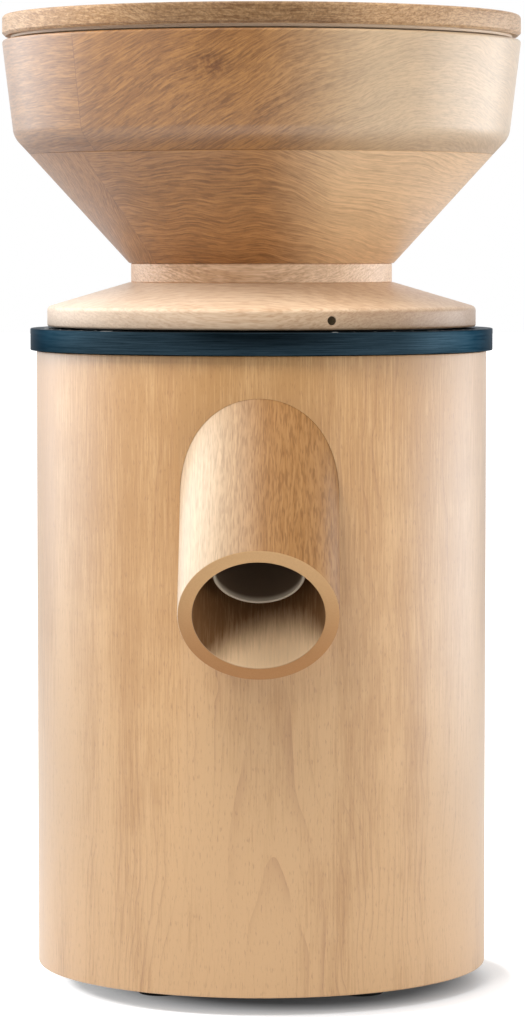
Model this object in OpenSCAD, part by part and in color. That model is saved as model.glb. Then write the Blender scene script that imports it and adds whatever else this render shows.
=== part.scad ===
// Electric grain mill: a turned wooden hopper screwed down onto motor-driven millstones.
// Millimetres. Z is the milling axis, Z = 0 is the standing plane, and the spout points to -Y.

/* [Stand] */
// Height of the wooden body above the standing plane
foot_gap = 7; // [5:0.5:12]
// Diameter of a rubber foot
foot_d = 20; // [16:1:24]
// Distance from the axis to the middle of a foot
foot_reach = 56; // [52:1:70]
// Thickness of the base plate
plate_t = 4; // [3:0.5:6]
// Depth of the base plate's underside above the body's lower edge
plate_recess = 1; // [0.5:0.5:2]
// Number of vent slots in each ring of the base plate
vent_count = 18; // [12:1:24]

/* [Body] */
// Outside diameter of the wooden body
body_d = 180; // [178:1:200]
// Height of the wooden body
body_h = 244.8; // [240:1:280]
// Thickness of the body wall
body_wall = 8; // [6:0.5:9]
// Diameter of the rods that clamp the body between the ring and the base plate
rod_d = 5; // [4:0.5:6]

/* [Top ring] */
// Outside diameter of the dark ring
ring_d = 185; // [182:1:206]
// Height of the dark ring's visible edge
ring_t = 8.7; // [8:0.1:12]
// Height of the shadow step between the body and the ring
ring_step = 1.2; // [0.5:0.1:2]
// Depth of the ring's skirt inside the body
skirt_h = 6; // [4:0.5:10]
// Height of the spring-loaded thrust ring
thrust_t = 4.4; // [4:0.1:5]
// Mean diameter of the thrust ring
thrust_d = 138; // [134:1:142]
// Width of the thrust ring
thrust_w = 11; // [8:0.5:12]

/* [Spout] */
// Outside diameter of the wooden spout
spout_d = 60.6; // [52:0.2:64]
// Wall of the wooden spout
spout_wall = 5.6; // [4:0.2:8]
// Slope of the spout below the horizontal
spout_angle = 45; // [42:1:48]
// Drop from the body's top edge to where the spout's axis leaves the body
spout_drop = 58.2; // [56:0.5:62]
// Length of the spout's axis outside the body
spout_len = 51.6; // [46:0.5:64]
// Slope of the spout's end face, 0 for an upright face
mouth_angle = 33.7; // [25:1:45]
// Outside diameter of the outlet tube inside the spout
outlet_d = 35.2; // [30:0.2:37]
// Wall of the outlet tube
outlet_wall = 1.1; // [1:0.1:2]
// Distance from the spout's mouth back to the outlet tube's rim
outlet_back = 21; // [16:1:28]

/* [Hopper] */
// Outside diameter of the hopper at its rim
hopper_d = 206.8; // [200:1:216]
// Diameter of the hopper at its shoulder, before rounding
shoulder_d = 197.6; // [192:1:199]
// Diameter at the lower end of the hopper's cone
cone_d = 105.8; // [100:1:116]
// Height of the rim ring, from the glue line to the top
rim_h = 45.2; // [40:1:60]
// Height of the shoulder above the glue line
shoulder_h = 7; // [5:0.5:10]
// Diameter of the hopper at the glue line
glue_d = 184.6; // [178:1:188]
// Height of the cone block
cone_h = 43.1; // [38:1:50]
// Thickness of the bowl's wall, square to the cone
bowl_wall = 12; // [10:0.5:14]
// Diameter of the neck
neck_d = 104.4; // [98:1:105]
// Height of the neck
neck_h = 7.6; // [5:0.5:12]
// Diameter of the hopper's base
base_d = 171.4; // [166:1:176]
// Height of the upright edge of the hopper's base
base_edge_h = 7.9; // [6:0.5:10]
// Full height of the hopper's base
base_h = 17.6; // [16:0.5:22]
// Diameter of the feed throat below the guard
throat_d = 44; // [40:1:46]
// Height of the gap between the base and the ring at the finest setting
fine_gap = 0.7; // [0.5:0.1:1]
// Diameter of the setting dot
dot_d = 3.3; // [2.5:0.1:4]
// Turn of the setting dot from the front, towards the right
dot_turn = 18.7; // [0:1:40]

/* [Lid] */
// How far the lid's edge stands in from the hopper's rim
lid_inset = 0.15; // [0:0.05:3]
// Thickness of the lid's edge, with its chamfer
lid_t = 8.2; // [7:0.1:10]
// Height of the chamfer under the lid's edge
lid_chamfer = 1.1; // [0.5:0.1:1.5]
// Height of the shadow groove under the lid
groove_h = 1.7; // [1.5:0.1:3]
// Depth of the shadow groove
groove_depth = 3.4; // [2:0.2:5]
// Height of the dark slit between the groove and the rim
slit_h = 0.6; // [0.4:0.1:1]
// Depth of the slit behind the groove
slit_depth = 3; // [1:0.5:4]
// Depth of the lid's spigot inside the bowl
spigot_h = 6; // [4:0.5:8]

/* [Milling] */
// Diameter of the millstones
stone_d = 90; // [84:1:94]
// Thickness of each millstone
stone_t = 18; // [16:0.5:20]
// Diameter of the upper stone's eye
eye_d = 34; // [32:1:38]
// Gap between the stones at the finest setting
stone_gap = 0.3; // [0.2:0.05:0.5]
// Number of sectors in the stones' dressing
sectors = 8; // [6:1:10]
// Depth of a furrow
furrow_depth = 1.6; // [1:0.1:2.2]
// Width of a furrow
furrow_w = 4.5; // [3:0.5:5]
// Wall around the upper stone, which carries the adjusting thread
thread_wall = 8.5; // [7:0.5:9]
// Height of the threaded wall
thread_h = 16; // [14:0.5:18]
// Inside diameter of the mill chamber
chamber_d = 113; // [112:1:118]
// Wall of the mill chamber
chamber_wall = 3.5; // [3:0.5:4]
// Thickness of the mill chamber's floor
floor_t = 6; // [5:0.5:8]
// Number of sweeper vanes
vanes = 4; // [2:1:6]

/* [Motor] */
// Outside diameter of the motor
motor_d = 116; // [108:1:118]
// Diameter of the rotor
rotor_d = 58; // [50:1:62]
// Diameter of the motor shaft
shaft_d = 16; // [14:0.5:16]
// Diameter of the cooling fan
fan_d = 92; // [80:1:98]
// Number of fan blades
fan_blades = 11; // [7:1:15]
// Diameter of the run capacitor
capacitor_d = 28; // [24:1:30]
// Length of the run capacitor
capacitor_len = 58; // [50:1:62]

/* [Switch and cord gland] */
// Height of the rocker switch above the body's lower edge
switch_h = 62; // [58:1:80]
// Width of the switch's bezel
bezel_w = 22; // [21:0.5:24]
// Height of the switch's bezel
bezel_h = 30; // [29:0.5:34]
// Length of the rocker
rocker_len = 23; // [21:0.5:24]
// Tilt of the rocker to either side
rocker_tilt = 7; // [5:0.5:9]
// Height of the cord gland above the body's lower edge
gland_h = 22; // [20:1:26]
// Bore of the cord gland
gland_bore = 7.2; // [6:0.1:8]

/* [Fits] */
// Gap between a turned piece and its seat
seat_gap = 0.3; // [0.2:0.05:0.5]
// Gap of a glued or pressed joint
glue_gap = 0.1; // [0.05:0.05:0.15]
// Gap of a running fit
run_gap = 0.05; // [0.02:0.01:0.08]
// Gap between the lid's spigot and the bowl
lid_gap = 0.5; // [0.3:0.1:1]

/* [Hidden] */
$fn = 96;
over = 1;                                     // overshoot of a cut past the face it leaves by
m4_r = 2;                                     // radius of the 4 mm screws
m5_r = 2.5;                                   // radius of the 5 mm screws
hole_gap = 0.1;                               // room between a screw and its hole
cap_head_h = 3;                               // height of a cylindrical screw head

// Levels, from the standing plane upwards
body_z0 = foot_gap;
body_z1 = body_z0 + body_h;
plate_z0 = body_z0 + plate_recess;
plate_z1 = plate_z0 + plate_t;
ring_z0 = body_z1;
ring_z1 = ring_z0 + ring_step + ring_t;
base_z0 = ring_z1 + fine_gap;
neck_z0 = base_z0 + base_h;
cone_z0 = neck_z0 + neck_h;
glue_z = cone_z0 + cone_h;
rim_z1 = glue_z + rim_h;
lid_z0 = rim_z1 + groove_h;

// Body and ring
body_r = body_d / 2;
inner_r = body_r - body_wall;
rebate_r = inner_r + 3;                       // seat of the base plate
spigot_r = inner_r - seat_gap;
skirt_wall = 7.7;
skirt_r = spigot_r - skirt_wall;
rod_inset = 4;
rod_ring = inner_r - rod_inset;
rod_turns = [60, 120, 240, 300];              // turn of each rod from the front
rod_depth = 3.5;
spring_room = 1.8;                            // room for the wave spring
groove_z = base_z0 - thrust_t - spring_room;  // floor of the thrust ring's groove
thrust_r0 = (thrust_d - thrust_w) / 2;
thrust_r1 = (thrust_d + thrust_w) / 2;
waves = 4;
wave_wire = 0.25;                             // half of the spring's strip thickness
key_w = 5;
key_len = 2;
key_root = 1;                                 // how far a key reaches into its ring

// Bowl: its inside cone runs parallel to the outside one
cone_slope = (glue_d - cone_d) / 2 / cone_h;
bowl_offset = bowl_wall / cos(atan(cone_slope));
function bowl_r(z) = cone_d / 2 - bowl_offset + cone_slope * (z - cone_z0);
function bowl_z(r) = cone_z0 + (r - cone_d / 2 + bowl_offset) / cone_slope;
rim_wall = 11.9;
bowl_top_r = hopper_d / 2 - rim_wall;
guard_lift = 8.6;
guard_z = base_z0 + guard_lift;
guard_t = 2.5;
guard_ledge = 4;                              // width of the ledge that the guard lies on
guard_r = throat_d / 2 + guard_ledge;
guard_bar = 2;                                // width of the guard's rings
neck_lip = 0.6;                               // how far the base's top stands out under the neck
dot_depth = 2;
dot_drop = 0.3;                               // how far the dot lies under the middle of the edge

// Grinding set
holder_plate = 6;
holder_grip = 11;                             // reach of the holder's screws into the wood
stone_room = 0.5;                             // room round the upper stone
eye_lip = 2;                                  // how far the holder stands back from the stone's eye
thread_chamfer = 0.6;
thread_r = stone_d / 2 + thread_wall + stone_room;
upper_z1 = base_z0 - holder_plate;
upper_z0 = upper_z1 - stone_t;
lower_z1 = upper_z0 - stone_gap;
lower_z0 = lower_z1 - stone_t;
hub_t = 6;
hub_z0 = lower_z0 - hub_t;
hub_gap = 2.1;                                // room under the stone hub
floor_z1 = hub_z0 - hub_gap;
floor_z0 = floor_z1 - floor_t;
chamber_r = chamber_d / 2;
chamber_out = chamber_r + chamber_wall;
flange_t = 8;
flange_gap = 0.5;                             // room between the chamber's flange and the skirt
flange_r = skirt_r - flange_gap;
chamber_grip = 3.6;                           // reach of the chamber's screws into the ring
chamber_screw_ring = (chamber_out + flange_r) / 2;
bevel_w = 9;
bevel_depth = 4.5;
stem_r = 8;
auger_gap = 2;                                // room between the auger and the stone's eye
auger_r = eye_d / 2 - auger_gap;
auger_z1 = upper_z1 + auger_gap;
boss_r = 12;
boss_len = 14;
boss_gap = 1;                                 // room round the hub's boss
boss_wall = 3;

// Spout: every point of its axis is measured from where it leaves the body
spout_r = spout_d / 2;
outlet_r = outlet_d / 2;
spout_start = [0, -body_r, body_z1 - spout_drop];
spout_dir = [0, -cos(spout_angle), -sin(spout_angle)];
function on_spout(s) = spout_start + s * spout_dir;
socket_depth = 6;
socket_reach = 8;                             // how far the socket stands out of the chamber
socket_end = -(body_r - chamber_out - socket_reach) / cos(spout_angle);
outlet_start = socket_end - socket_depth;
outlet_end = spout_len - outlet_back;
socket_wall = 3;
socket_lip = 2;                               // ledge that the outlet tube stands on

// Electrics on the base plate
capacitor_inset = 13;
capacitor_x = -(inner_r - capacitor_d / 2 - capacitor_inset);
capacitor_lift = 2;
clip_wall = 1;
tab_len = 8;                                  // terminal tabs of the capacitor
tab_reach = 4;                                // from the capacitor's axis to a tab
capacitor_z = plate_z1 + capacitor_lift + capacitor_d / 2;
block_w = 34;
block_d = 12;
block_h = 16;
block_x = 30;
block_y = 58;
lead_r = 1.2;
lead_sides = 8;
lead_out = 4;                                 // straight end of a lead
lead_gap = 0.2;                               // room between a lead's end and a round wall
pole_step = 8;                                // spacing of the terminals

// Motor, between the mill chamber over it and the capacitor under it
motor_r = motor_d / 2;
can_wall = 2;
core_r = motor_r - can_wall - glue_gap;
bell_h = 26;
bell_lip = 4;                                 // height of each bell's lip inside the can
bell_rim_r = motor_r - 14;                    // inside of each bell's rim
bell_edge = 10;                               // upright edge of the upper bell
bell_roof = 3;                                // hollow under the upper bell's roof
bell_floor = 5;                               // thickness of the lower bell's floor
bell_chamfer = 3;
mount_grip = 10;                              // reach of the motor's screws into the bell
bell_top_r = 38;
upper_bell_z0 = floor_z0 - bell_h;
lower_bell_h = 14;
fan_h = 13;
fan_gap = 4;                                  // between the fan and what lies over and under it
fan_z0 = plate_z1 + capacitor_lift + capacitor_d + clip_wall + fan_gap;
fan_z1 = fan_z0 + fan_h;
lower_bell_z0 = fan_z1 + fan_gap;
lower_bell_z1 = lower_bell_z0 + lower_bell_h;
lower_turn_room = 24;                         // between the core and the lower bell
upper_turn_room = 14;                         // between the core and the upper bell
core_z0 = lower_bell_z1 + lower_turn_room;
core_z1 = upper_bell_z0 - upper_turn_room;
core_h = core_z1 - core_z0;
rotor_end = 6;                                // reach of the rotor's hub past the core
shaft_r = shaft_d / 2;
collar_r = shaft_r + 2;                       // shoulders that hold the bearings
bearing_r = 17.5;
bearing_t = 11;
bearing_wall = 6;                             // wall round each bearing
bearing_mouth = 1;                            // height of the upper bearing seat's mouth
upper_bearing_z = upper_bell_z0 + 4;
lower_bearing_z = lower_bell_z0 + 2;
slots = 18;                                   // winding slots of the stator
slot_len = 9;
slot_w = 5;
slot_ring = rotor_d / 2 + slot_len;
turn_h = 10;                                  // height of the winding's end turns
bolt_inset = 5;
bolt_ring = core_r - bolt_inset;
bolt_grip = 5;                                // reach of the long bolts into the upper bell
mount_ring = 29;
shaft_tail = 5;                               // how far the shaft stands out under the fan
shaft_z0 = fan_z0 - shaft_tail;
shaft_drop = 4;                               // how far the shaft ends under the lower stone
shaft_z1 = lower_z0 - shaft_drop;

// Rear of the body
panel_depth = 0.9;
panel_y = body_r - panel_depth;               // flat that the switch and the gland sit on
switch_z = body_z0 + switch_h;
switch_wall = 1.7;
switch_depth = 20;
bezel_lip = 1.5;
bezel_t = 2;
well_depth = 10;
switch_w = bezel_w - 2 * bezel_lip;
switch_body_h = bezel_h - 2 * bezel_lip;
rocker_w = switch_w - 2 * switch_wall - 2 * seat_gap;
rocker_gap = 0.8;                             // room at each end of the rocker
pivot_depth = 3;
pivot_y = panel_y - pivot_depth;
pivot_r = 1.5;
pin_grip = 0.8;                               // how far each end of the pivot pin is held
gland_z = body_z0 + gland_h;
gland_wall = 3;
gland_flange_w = 5.5;
gland_flange_t = 4;
gland_taper = 1;
gland_shank_r = gland_bore / 2 + gland_wall;
gland_flange_r = gland_bore / 2 + gland_flange_w;
gland_in = 15;
nut_t = 5;
nut_r = gland_flange_r + 0.6;
nut_room = 0.4;                               // room round the nut in its recess
nut_recess = 4;
nut_y = inner_r + 0.6;

// Base
vent_w = 3.5;
inner_vent_ring = 24;
inner_vent_len = 10;
outer_vent_ring = 38.5;
outer_vent_len = 7;
foot_recess = 3.5;
foot_recess_r = 5;

// ---- Shared shapes ----

// Points of an arc that rounds corner b of the outline a, b, c
function rounded(a, b, c, r, n = 6) =
    let (
        u = (a - b) / norm(a - b),
        v = (c - b) / norm(c - b),
        half = acos(u * v) / 2,
        middle = b + (u + v) / norm(u + v) * r / sin(half),
        p0 = b + u * r / tan(half),
        p1 = b + v * r / tan(half),
        a0 = atan2(p0.y - middle.y, p0.x - middle.x),
        a1 = atan2(p1.y - middle.y, p1.x - middle.x),
        turn = (a1 - a0 + 540) % 360 - 180
    )
    [for (i = [0:n]) middle + r * [cos(a0 + turn * i / n), sin(a0 + turn * i / n)]];

// Solid turned round the milling axis from an outline of [radius, height] points
module turned(outline) {
    rotate_extrude() polygon(outline);
}

// Tube between two heights
module tube(r_out, r_in, z0, z1) {
    translate([0, 0, z0]) difference() {
        cylinder(r = r_out, h = z1 - z0);
        translate([0, 0, -over]) cylinder(r = r_in, h = z1 - z0 + 2 * over);
    }
}

// Disc between two heights
module disc(r, z0, z1) {
    translate([0, 0, z0]) cylinder(r = r, h = z1 - z0);
}

// Places its children at equal steps round the axis
module around(count, radius, first = 0) {
    for (i = [0:count - 1])
        rotate([0, 0, first + i * 360 / count]) translate([radius, 0, 0]) children();
}

// Places its children on each tie rod
module at_rods() {
    for (turn = rod_turns) rotate([0, 0, turn - 90]) translate([rod_ring, 0, 0]) children();
}

// Lays a +Z shape along the spout, starting s millimetres from the body's face
module along_spout(s, angle = spout_angle) {
    translate(on_spout(s)) rotate([90 + angle, 0, 0]) children();
}

// Slot with round ends, cut upwards from z0
module slot(length, width, z0, height) {
    translate([0, 0, z0]) {
        translate([-length / 2, -width / 2, 0]) cube([length, width, height]);
        for (side = [-1, 1]) translate([side * length / 2, 0, 0]) cylinder(d = width, h = height);
    }
}

// Screw with a countersunk head flush with z = 0, pointing up
module countersunk(r, length) {
    cylinder(r1 = 2 * r, r2 = r, h = r);
    cylinder(r = r, h = length);
}

// Hole for a screw, from z = 0 upwards
module screw_hole(r, length) {
    translate([0, 0, -over]) cylinder(r = r + hole_gap, h = length + 2 * over);
}

// Hole for a screw with a countersunk head
module sunk_hole(r, length) {
    screw_hole(r, length);
    cylinder(r1 = 2 * (r + hole_gap), r2 = r, h = r + 2 * hole_gap);
}

// Screw with a cylindrical head under z = 0, pointing up
module cap_screw(r, length, head_h) {
    cylinder(r = r, h = length);
    translate([0, 0, -head_h]) difference() {
        cylinder(r = 1.7 * r, h = head_h);
        translate([0, 0, -over]) cylinder(r = r, h = head_h / 2 + over, $fn = 6);
    }
}

// ---- Lid and hopper ----

// Turned lid: a chamfered disc over a shadow groove and a slit, and a spigot that fits the bowl
module lid() {
    r = hopper_d / 2 - lid_inset;
    groove_r = r - groove_depth;
    slit_r = groove_r - slit_depth;
    fit_r = bowl_top_r - lid_gap;
    top = lid_z0 + lid_t;
    edge_round = 1.5;
    spigot_round = 1;
    color("burlywood") turned(concat(
        [[0, rim_z1 - spigot_h]],
        rounded([0, rim_z1 - spigot_h], [fit_r, rim_z1 - spigot_h], [fit_r, rim_z1], spigot_round),
        [[fit_r, rim_z1], [slit_r, rim_z1], [slit_r, rim_z1 + slit_h], [groove_r, rim_z1 + slit_h]],
        [[groove_r, lid_z0], [r - lid_chamfer, lid_z0], [r, lid_z0 + lid_chamfer]],
        rounded([r, lid_z0], [r, top], [0, top], edge_round),
        [[0, top]]
    ));
}

// Top block of the hopper: a slightly flared rim over a rounded shoulder
module hopper_rim() {
    low = [glue_d / 2, glue_z];
    shoulder = [shoulder_d / 2, glue_z + shoulder_h];
    top = [hopper_d / 2, rim_z1];
    bend = [bowl_top_r, bowl_z(bowl_top_r)];
    inner_low = [bowl_r(glue_z), glue_z];
    shoulder_round = 8;
    edge_round = 1.2;
    bowl_round = 10;
    color("peru") turned(concat(
        [low],
        rounded(low, shoulder, top, shoulder_round),
        rounded(shoulder, top, [bowl_top_r, rim_z1], edge_round),
        [[bowl_top_r, rim_z1]],
        rounded([bowl_top_r, rim_z1], bend, inner_low, bowl_round),
        [inner_low]
    ));
}

// Cone block under the glue line
module hopper_cone() {
    color("tan") turned([
        [cone_d / 2, cone_z0], [glue_d / 2, glue_z],
        [bowl_r(glue_z), glue_z], [bowl_r(cone_z0), cone_z0]
    ]);
}

// Short neck between the cone and the base
module hopper_neck() {
    color("wheat") turned([
        [neck_d / 2, neck_z0], [neck_d / 2, cone_z0],
        [bowl_r(cone_z0), cone_z0], [bowl_r(neck_z0), neck_z0]
    ]);
}

// Base of the hopper: the grip that is turned to set the fineness
module hopper_base() {
    r = base_d / 2;
    shoulder = [r, base_z0 + base_edge_h];
    top = [neck_d / 2 + neck_lip, neck_z0];
    seat_r = guard_r + glue_gap;
    edge_round = 0.8;
    shoulder_round = 2.5;
    difference() {
        color("burlywood") turned(concat(
            [[throat_d / 2, base_z0]],
            rounded([throat_d / 2, base_z0], [r, base_z0], shoulder, edge_round),
            rounded([r, base_z0], shoulder, top, shoulder_round),
            [top, [bowl_r(neck_z0), neck_z0], [seat_r, bowl_z(seat_r)]],
            [[seat_r, guard_z], [throat_d / 2, guard_z]]
        ));
        dot_place() translate([0, 0, -dot_depth]) cylinder(d = dot_d + glue_gap, h = dot_depth + 2 * over);
        holder_screw_places() translate([0, 0, holder_plate]) screw_hole(m4_r, holder_grip);
    }
}

// Frame of the setting dot: z = 0 on the base's upright edge, +Z outwards
module dot_place() {
    rotate([0, 0, dot_turn]) translate([0, -base_d / 2, base_z0 + base_edge_h / 2 - dot_drop])
        rotate([90, 0, 0]) children();
}

// Inlaid bronze pin that points at the scale
module setting_dot() {
    color("darkolivegreen") dot_place() translate([0, 0, -dot_depth])
        cylinder(d = dot_d, h = dot_depth);
}

// Guard in the throat that keeps fingers off the stones
module finger_guard() {
    spoke_w = 2.4;
    middle_r = 3.5;
    color("silver") translate([0, 0, guard_z]) {
        tube(guard_r, throat_d / 2 - guard_bar, 0, guard_t);
        tube(throat_d / 4 + guard_bar, throat_d / 4, 0, guard_t);
        disc(middle_r, 0, guard_t);
        for (i = [0:2]) rotate([0, 0, i * 60 + 30])
            translate([-throat_d / 2, -spoke_w / 2, 0]) cube([throat_d, spoke_w, guard_t]);
    }
}

// ---- Upper half of the grinding set ----

// Cast holder of the upper stone; its outer wall screws into the mill chamber
module stone_holder() {
    bore_r = eye_d / 2 + eye_lip;
    cup_r = stone_d / 2 + stone_room;
    low = base_z0 - thread_h;
    difference() {
        color("gainsboro") turned([
            [bore_r, upper_z1], [cup_r, upper_z1], [cup_r, low], [thread_r - thread_chamfer, low],
            [thread_r, low + thread_chamfer], [thread_r, base_z0], [bore_r, base_z0]
        ]);
        holder_screw_places() sunk_hole(m4_r, holder_plate);
    }
}

module holder_screw_places() {
    around(4, (eye_d / 2 + stone_d / 2) / 2 + eye_lip, 45) translate([0, 0, upper_z1]) children();
}

// Wood screws that hold the stone holder under the hopper
module holder_screws() {
    color("dimgray") holder_screw_places() countersunk(m4_r, holder_plate + holder_grip);
}

// One furrow: a steep edge and a long slope, cut into the face at z = 0 from the positive side
module furrow(length) {
    rotate([90, 0, 90]) linear_extrude(height = length)
        polygon([[0, over], [0, -furrow_depth], [furrow_w, 0], [furrow_w, over]]);
}

// Dressing of one stone: in each sector a leading furrow and a shorter one beside it
module dressing(eye_r) {
    r = stone_d / 2;
    lead = eye_r * 0.45;                      // how far a furrow lies off the line to the axis
    land = 2;                                 // flat between two furrows
    start = eye_r + (r - eye_r) * 0.42;       // where the second furrow starts
    for (i = [0:sectors - 1]) rotate([0, 0, i * 360 / sectors]) {
        translate([eye_r, lead, 0]) furrow(r);
        translate([start, lead + furrow_w + land, 0]) furrow(r);
    }
}

// Upper stone, dressed on its lower face
module upper_stone() {
    r = stone_d / 2;
    eye_r = eye_d / 2;
    color("lightgray") translate([0, 0, upper_z0]) difference() {
        turned([
            [eye_r, bevel_depth], [eye_r + bevel_w, 0], [r, 0], [r, stone_t], [eye_r, stone_t]
        ]);
        mirror([0, 0, 1]) dressing(eye_r + bevel_w);
    }
}

// ---- Ring that takes the play out of the adjusting thread ----

// Thrust ring: rises with the hopper and is kept from turning by two keys
module thrust_ring() {
    color("dimgray") {
        tube(thrust_r1, thrust_r0, base_z0 - thrust_t, base_z0);
        key_places() translate([thrust_r1 - key_root, -key_w / 2, base_z0 - thrust_t])
            cube([key_len + key_root, key_w, thrust_t - key_root]);
    }
}

module key_places() {
    for (turn = [0, 180]) rotate([0, 0, turn]) children();
}

// Wave spring under the thrust ring
module wave_spring() {
    low = groove_z + wave_wire;
    high = base_z0 - thrust_t - wave_wire;
    side_gap = 1;
    steps = 72;
    ring = function (r, lift) [for (i = [0:steps - 1])
        let (a = i * 360 / steps, z = (low + high) / 2 + (high - low) / 2 * cos(waves * a))
        [r * cos(a), r * sin(a), z + lift]];
    r0 = thrust_r0 + side_gap;
    r1 = thrust_r1 - side_gap;
    points = concat(ring(r0, -wave_wire), ring(r1, -wave_wire), ring(r1, wave_wire), ring(r0, wave_wire));
    faces = [for (k = [0:3], i = [0:steps - 1])
        let (j = (i + 1) % steps, a = k * steps, b = (k + 1) % 4 * steps)
        [a + i, a + j, b + j, b + i]];
    color("silver") polyhedron(points, faces, convexity = 4);
}

// ---- Ring, body and spout ----

// Dark ring that crowns the body and carries the mill
module top_ring() {
    r = ring_d / 2;
    edge = ring_z0 + ring_step;
    bore_r = thread_r + 0.7;                  // clears the stone holder
    chamfer = 0.4;
    difference() {
        color("midnightblue") turned([
            [bore_r, ring_z0], [skirt_r, ring_z0], [skirt_r, ring_z0 - skirt_h],
            [spigot_r, ring_z0 - skirt_h], [spigot_r, ring_z0], [body_r, ring_z0],
            [body_r, edge], [r - chamfer, edge], [r, edge + chamfer],
            [r, ring_z1 - chamfer], [r - chamfer, ring_z1],
            [thrust_r1 + seat_gap, ring_z1], [thrust_r1 + seat_gap, groove_z],
            [thrust_r0 - seat_gap, groove_z], [thrust_r0 - seat_gap, ring_z1], [bore_r, ring_z1]
        ]);
        key_places() translate([thrust_r1 - key_root, -key_w / 2 - seat_gap, groove_z])
            cube([key_len + key_root + seat_gap, key_w + 2 * seat_gap, ring_z1]);
        at_rods() disc(rod_d / 2 + glue_gap, ring_z0 - skirt_h - over, ring_z0 + rod_depth + glue_gap);
        chamber_screw_places() cylinder(r = m4_r + hole_gap, h = flange_t + chamber_grip + 4 * hole_gap);
    }
}

// Body: a wooden tube with the spout's hole at the front, and the switch and gland at the back
module body_shell() {
    difference() {
        color("wheat") tube(body_r, inner_r, body_z0, body_z1);
        disc(rebate_r, body_z0 - over, plate_z1);
        intersection() {
            along_spout(-spout_d) cylinder(r = spout_r + glue_gap, h = 3 * spout_d);
            translate([-body_d, -body_d, body_z0]) cube([2 * body_d, body_d, body_h]);
        }
        translate([-bezel_w / 2 - glue_gap, panel_y, switch_z - bezel_h / 2 - glue_gap])
            cube([bezel_w + 2 * glue_gap, body_wall, bezel_h + 2 * glue_gap]);
        translate([-switch_w / 2 - glue_gap, inner_r / 2, switch_z - switch_body_h / 2 - glue_gap])
            cube([switch_w + 2 * glue_gap, body_r, switch_body_h + 2 * glue_gap]);
        at_gland(panel_y) cylinder(r = gland_flange_r + glue_gap, h = body_wall);
        at_gland(inner_r / 2) cylinder(r = gland_shank_r + glue_gap, h = body_r);
        at_gland(nut_y - nut_recess) cylinder(r = nut_r + nut_room, h = nut_recess);
    }
}

// Wooden spout: a straight tube cut off at the mouth and trimmed to the inside of the body
module spout() {
    color("burlywood") difference() {
        along_spout(-spout_d) cylinder(r = spout_r, h = spout_d + spout_len + spout_d);
        along_spout(-spout_d - over) cylinder(r = spout_r - spout_wall, h = 4 * spout_d);
        along_spout(spout_len, mouth_angle) translate([-spout_d, -spout_d, 0])
            cube([2 * spout_d, 2 * spout_d, 3 * spout_d]);
        disc(inner_r, 0, body_z1 + 2 * spout_d);
        translate([-spout_d, 0, 0]) cube([2 * spout_d, 3 * spout_d, 3 * body_h]);
    }
}

// Outlet tube that carries the flour from the mill chamber through the spout
module outlet_tube() {
    color("antiquewhite") along_spout(outlet_start)
        tube(outlet_r, outlet_r - outlet_wall, 0, outlet_end - outlet_start);
}

// Rods that clamp the body between the ring and the base plate
module tie_rods() {
    color("silver") at_rods() translate([0, 0, plate_z0])
        cap_screw(rod_d / 2, ring_z0 + rod_depth - plate_z0, cap_head_h);
}

// ---- Mill chamber and lower half of the grinding set ----

// Cast chamber: the threaded mouth takes the stone holder, and the outlet leaves at the front
module mill_chamber() {
    mouth_r = thread_r + run_gap;
    roof = 2;                                 // chamber's roof under the flange
    neck_z = ring_z0 - flange_t - roof;
    hole_r = boss_r + boss_gap;
    difference() {
        color("silver") union() {
            difference() {
                union() {
                    tube(chamber_out, hole_r, floor_z0, ring_z0);
                    tube(flange_r, mouth_r, ring_z0 - flange_t, ring_z0);
                    intersection() {
                        along_spout(outlet_start - outlet_r * 2)
                            cylinder(r = outlet_r + socket_wall, h = socket_depth + outlet_r * 2);
                        disc(body_r, body_z0, ring_z0 - flange_t);
                    }
                }
                disc(chamber_r, floor_z1, neck_z);
            }
            tube(hole_r + boss_wall, hole_r, floor_z0, floor_z1 + boss_gap);
        }
        disc(mouth_r, floor_z1 + over, ring_z0 + over);
        disc(hole_r, floor_z0 - over, floor_z1 + 2 * over);
        difference() {
            intersection() {
                along_spout(outlet_start - outlet_r * 3)
                    cylinder(r = outlet_r - socket_lip, h = outlet_r * 3 + 2 * socket_depth);
                translate([-body_r, -body_d, 0]) cube([body_d, body_d, neck_z - roof]);
            }
            disc(chamber_r, 0, floor_z1);
        }
        along_spout(outlet_start) cylinder(r = outlet_r + glue_gap, h = socket_depth + over);
        chamber_screw_places() screw_hole(m4_r, flange_t);
        mount_screw_places() sunk_hole(m5_r, floor_t);
    }
}

module chamber_screw_places() {
    around(4, chamber_screw_ring, 45) translate([0, 0, ring_z0 - flange_t]) children();
}

// Frame of a motor mounting screw: z = 0 on the chamber's floor, pointing down
module mount_screw_places() {
    around(4, mount_ring, 45) translate([0, 0, floor_z1]) mirror([0, 0, 1]) children();
}

// Screws from below through the chamber's flange into the ring
module chamber_screws() {
    color("dimgray") chamber_screw_places() cap_screw(m4_r, flange_t + chamber_grip, cap_head_h);
}

// Lower stone, dressed on its upper face
module lower_stone() {
    r = stone_d / 2;
    hole_r = stem_r + 1;
    color("lightgray") translate([0, 0, lower_z1]) difference() {
        turned([
            [hole_r, -stone_t], [r, -stone_t], [r, 0], [eye_d / 2 + bevel_w, 0],
            [eye_d / 2, -bevel_depth], [hole_r, -bevel_depth]
        ]);
        dressing(eye_d / 2 + bevel_w);
    }
}

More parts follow.
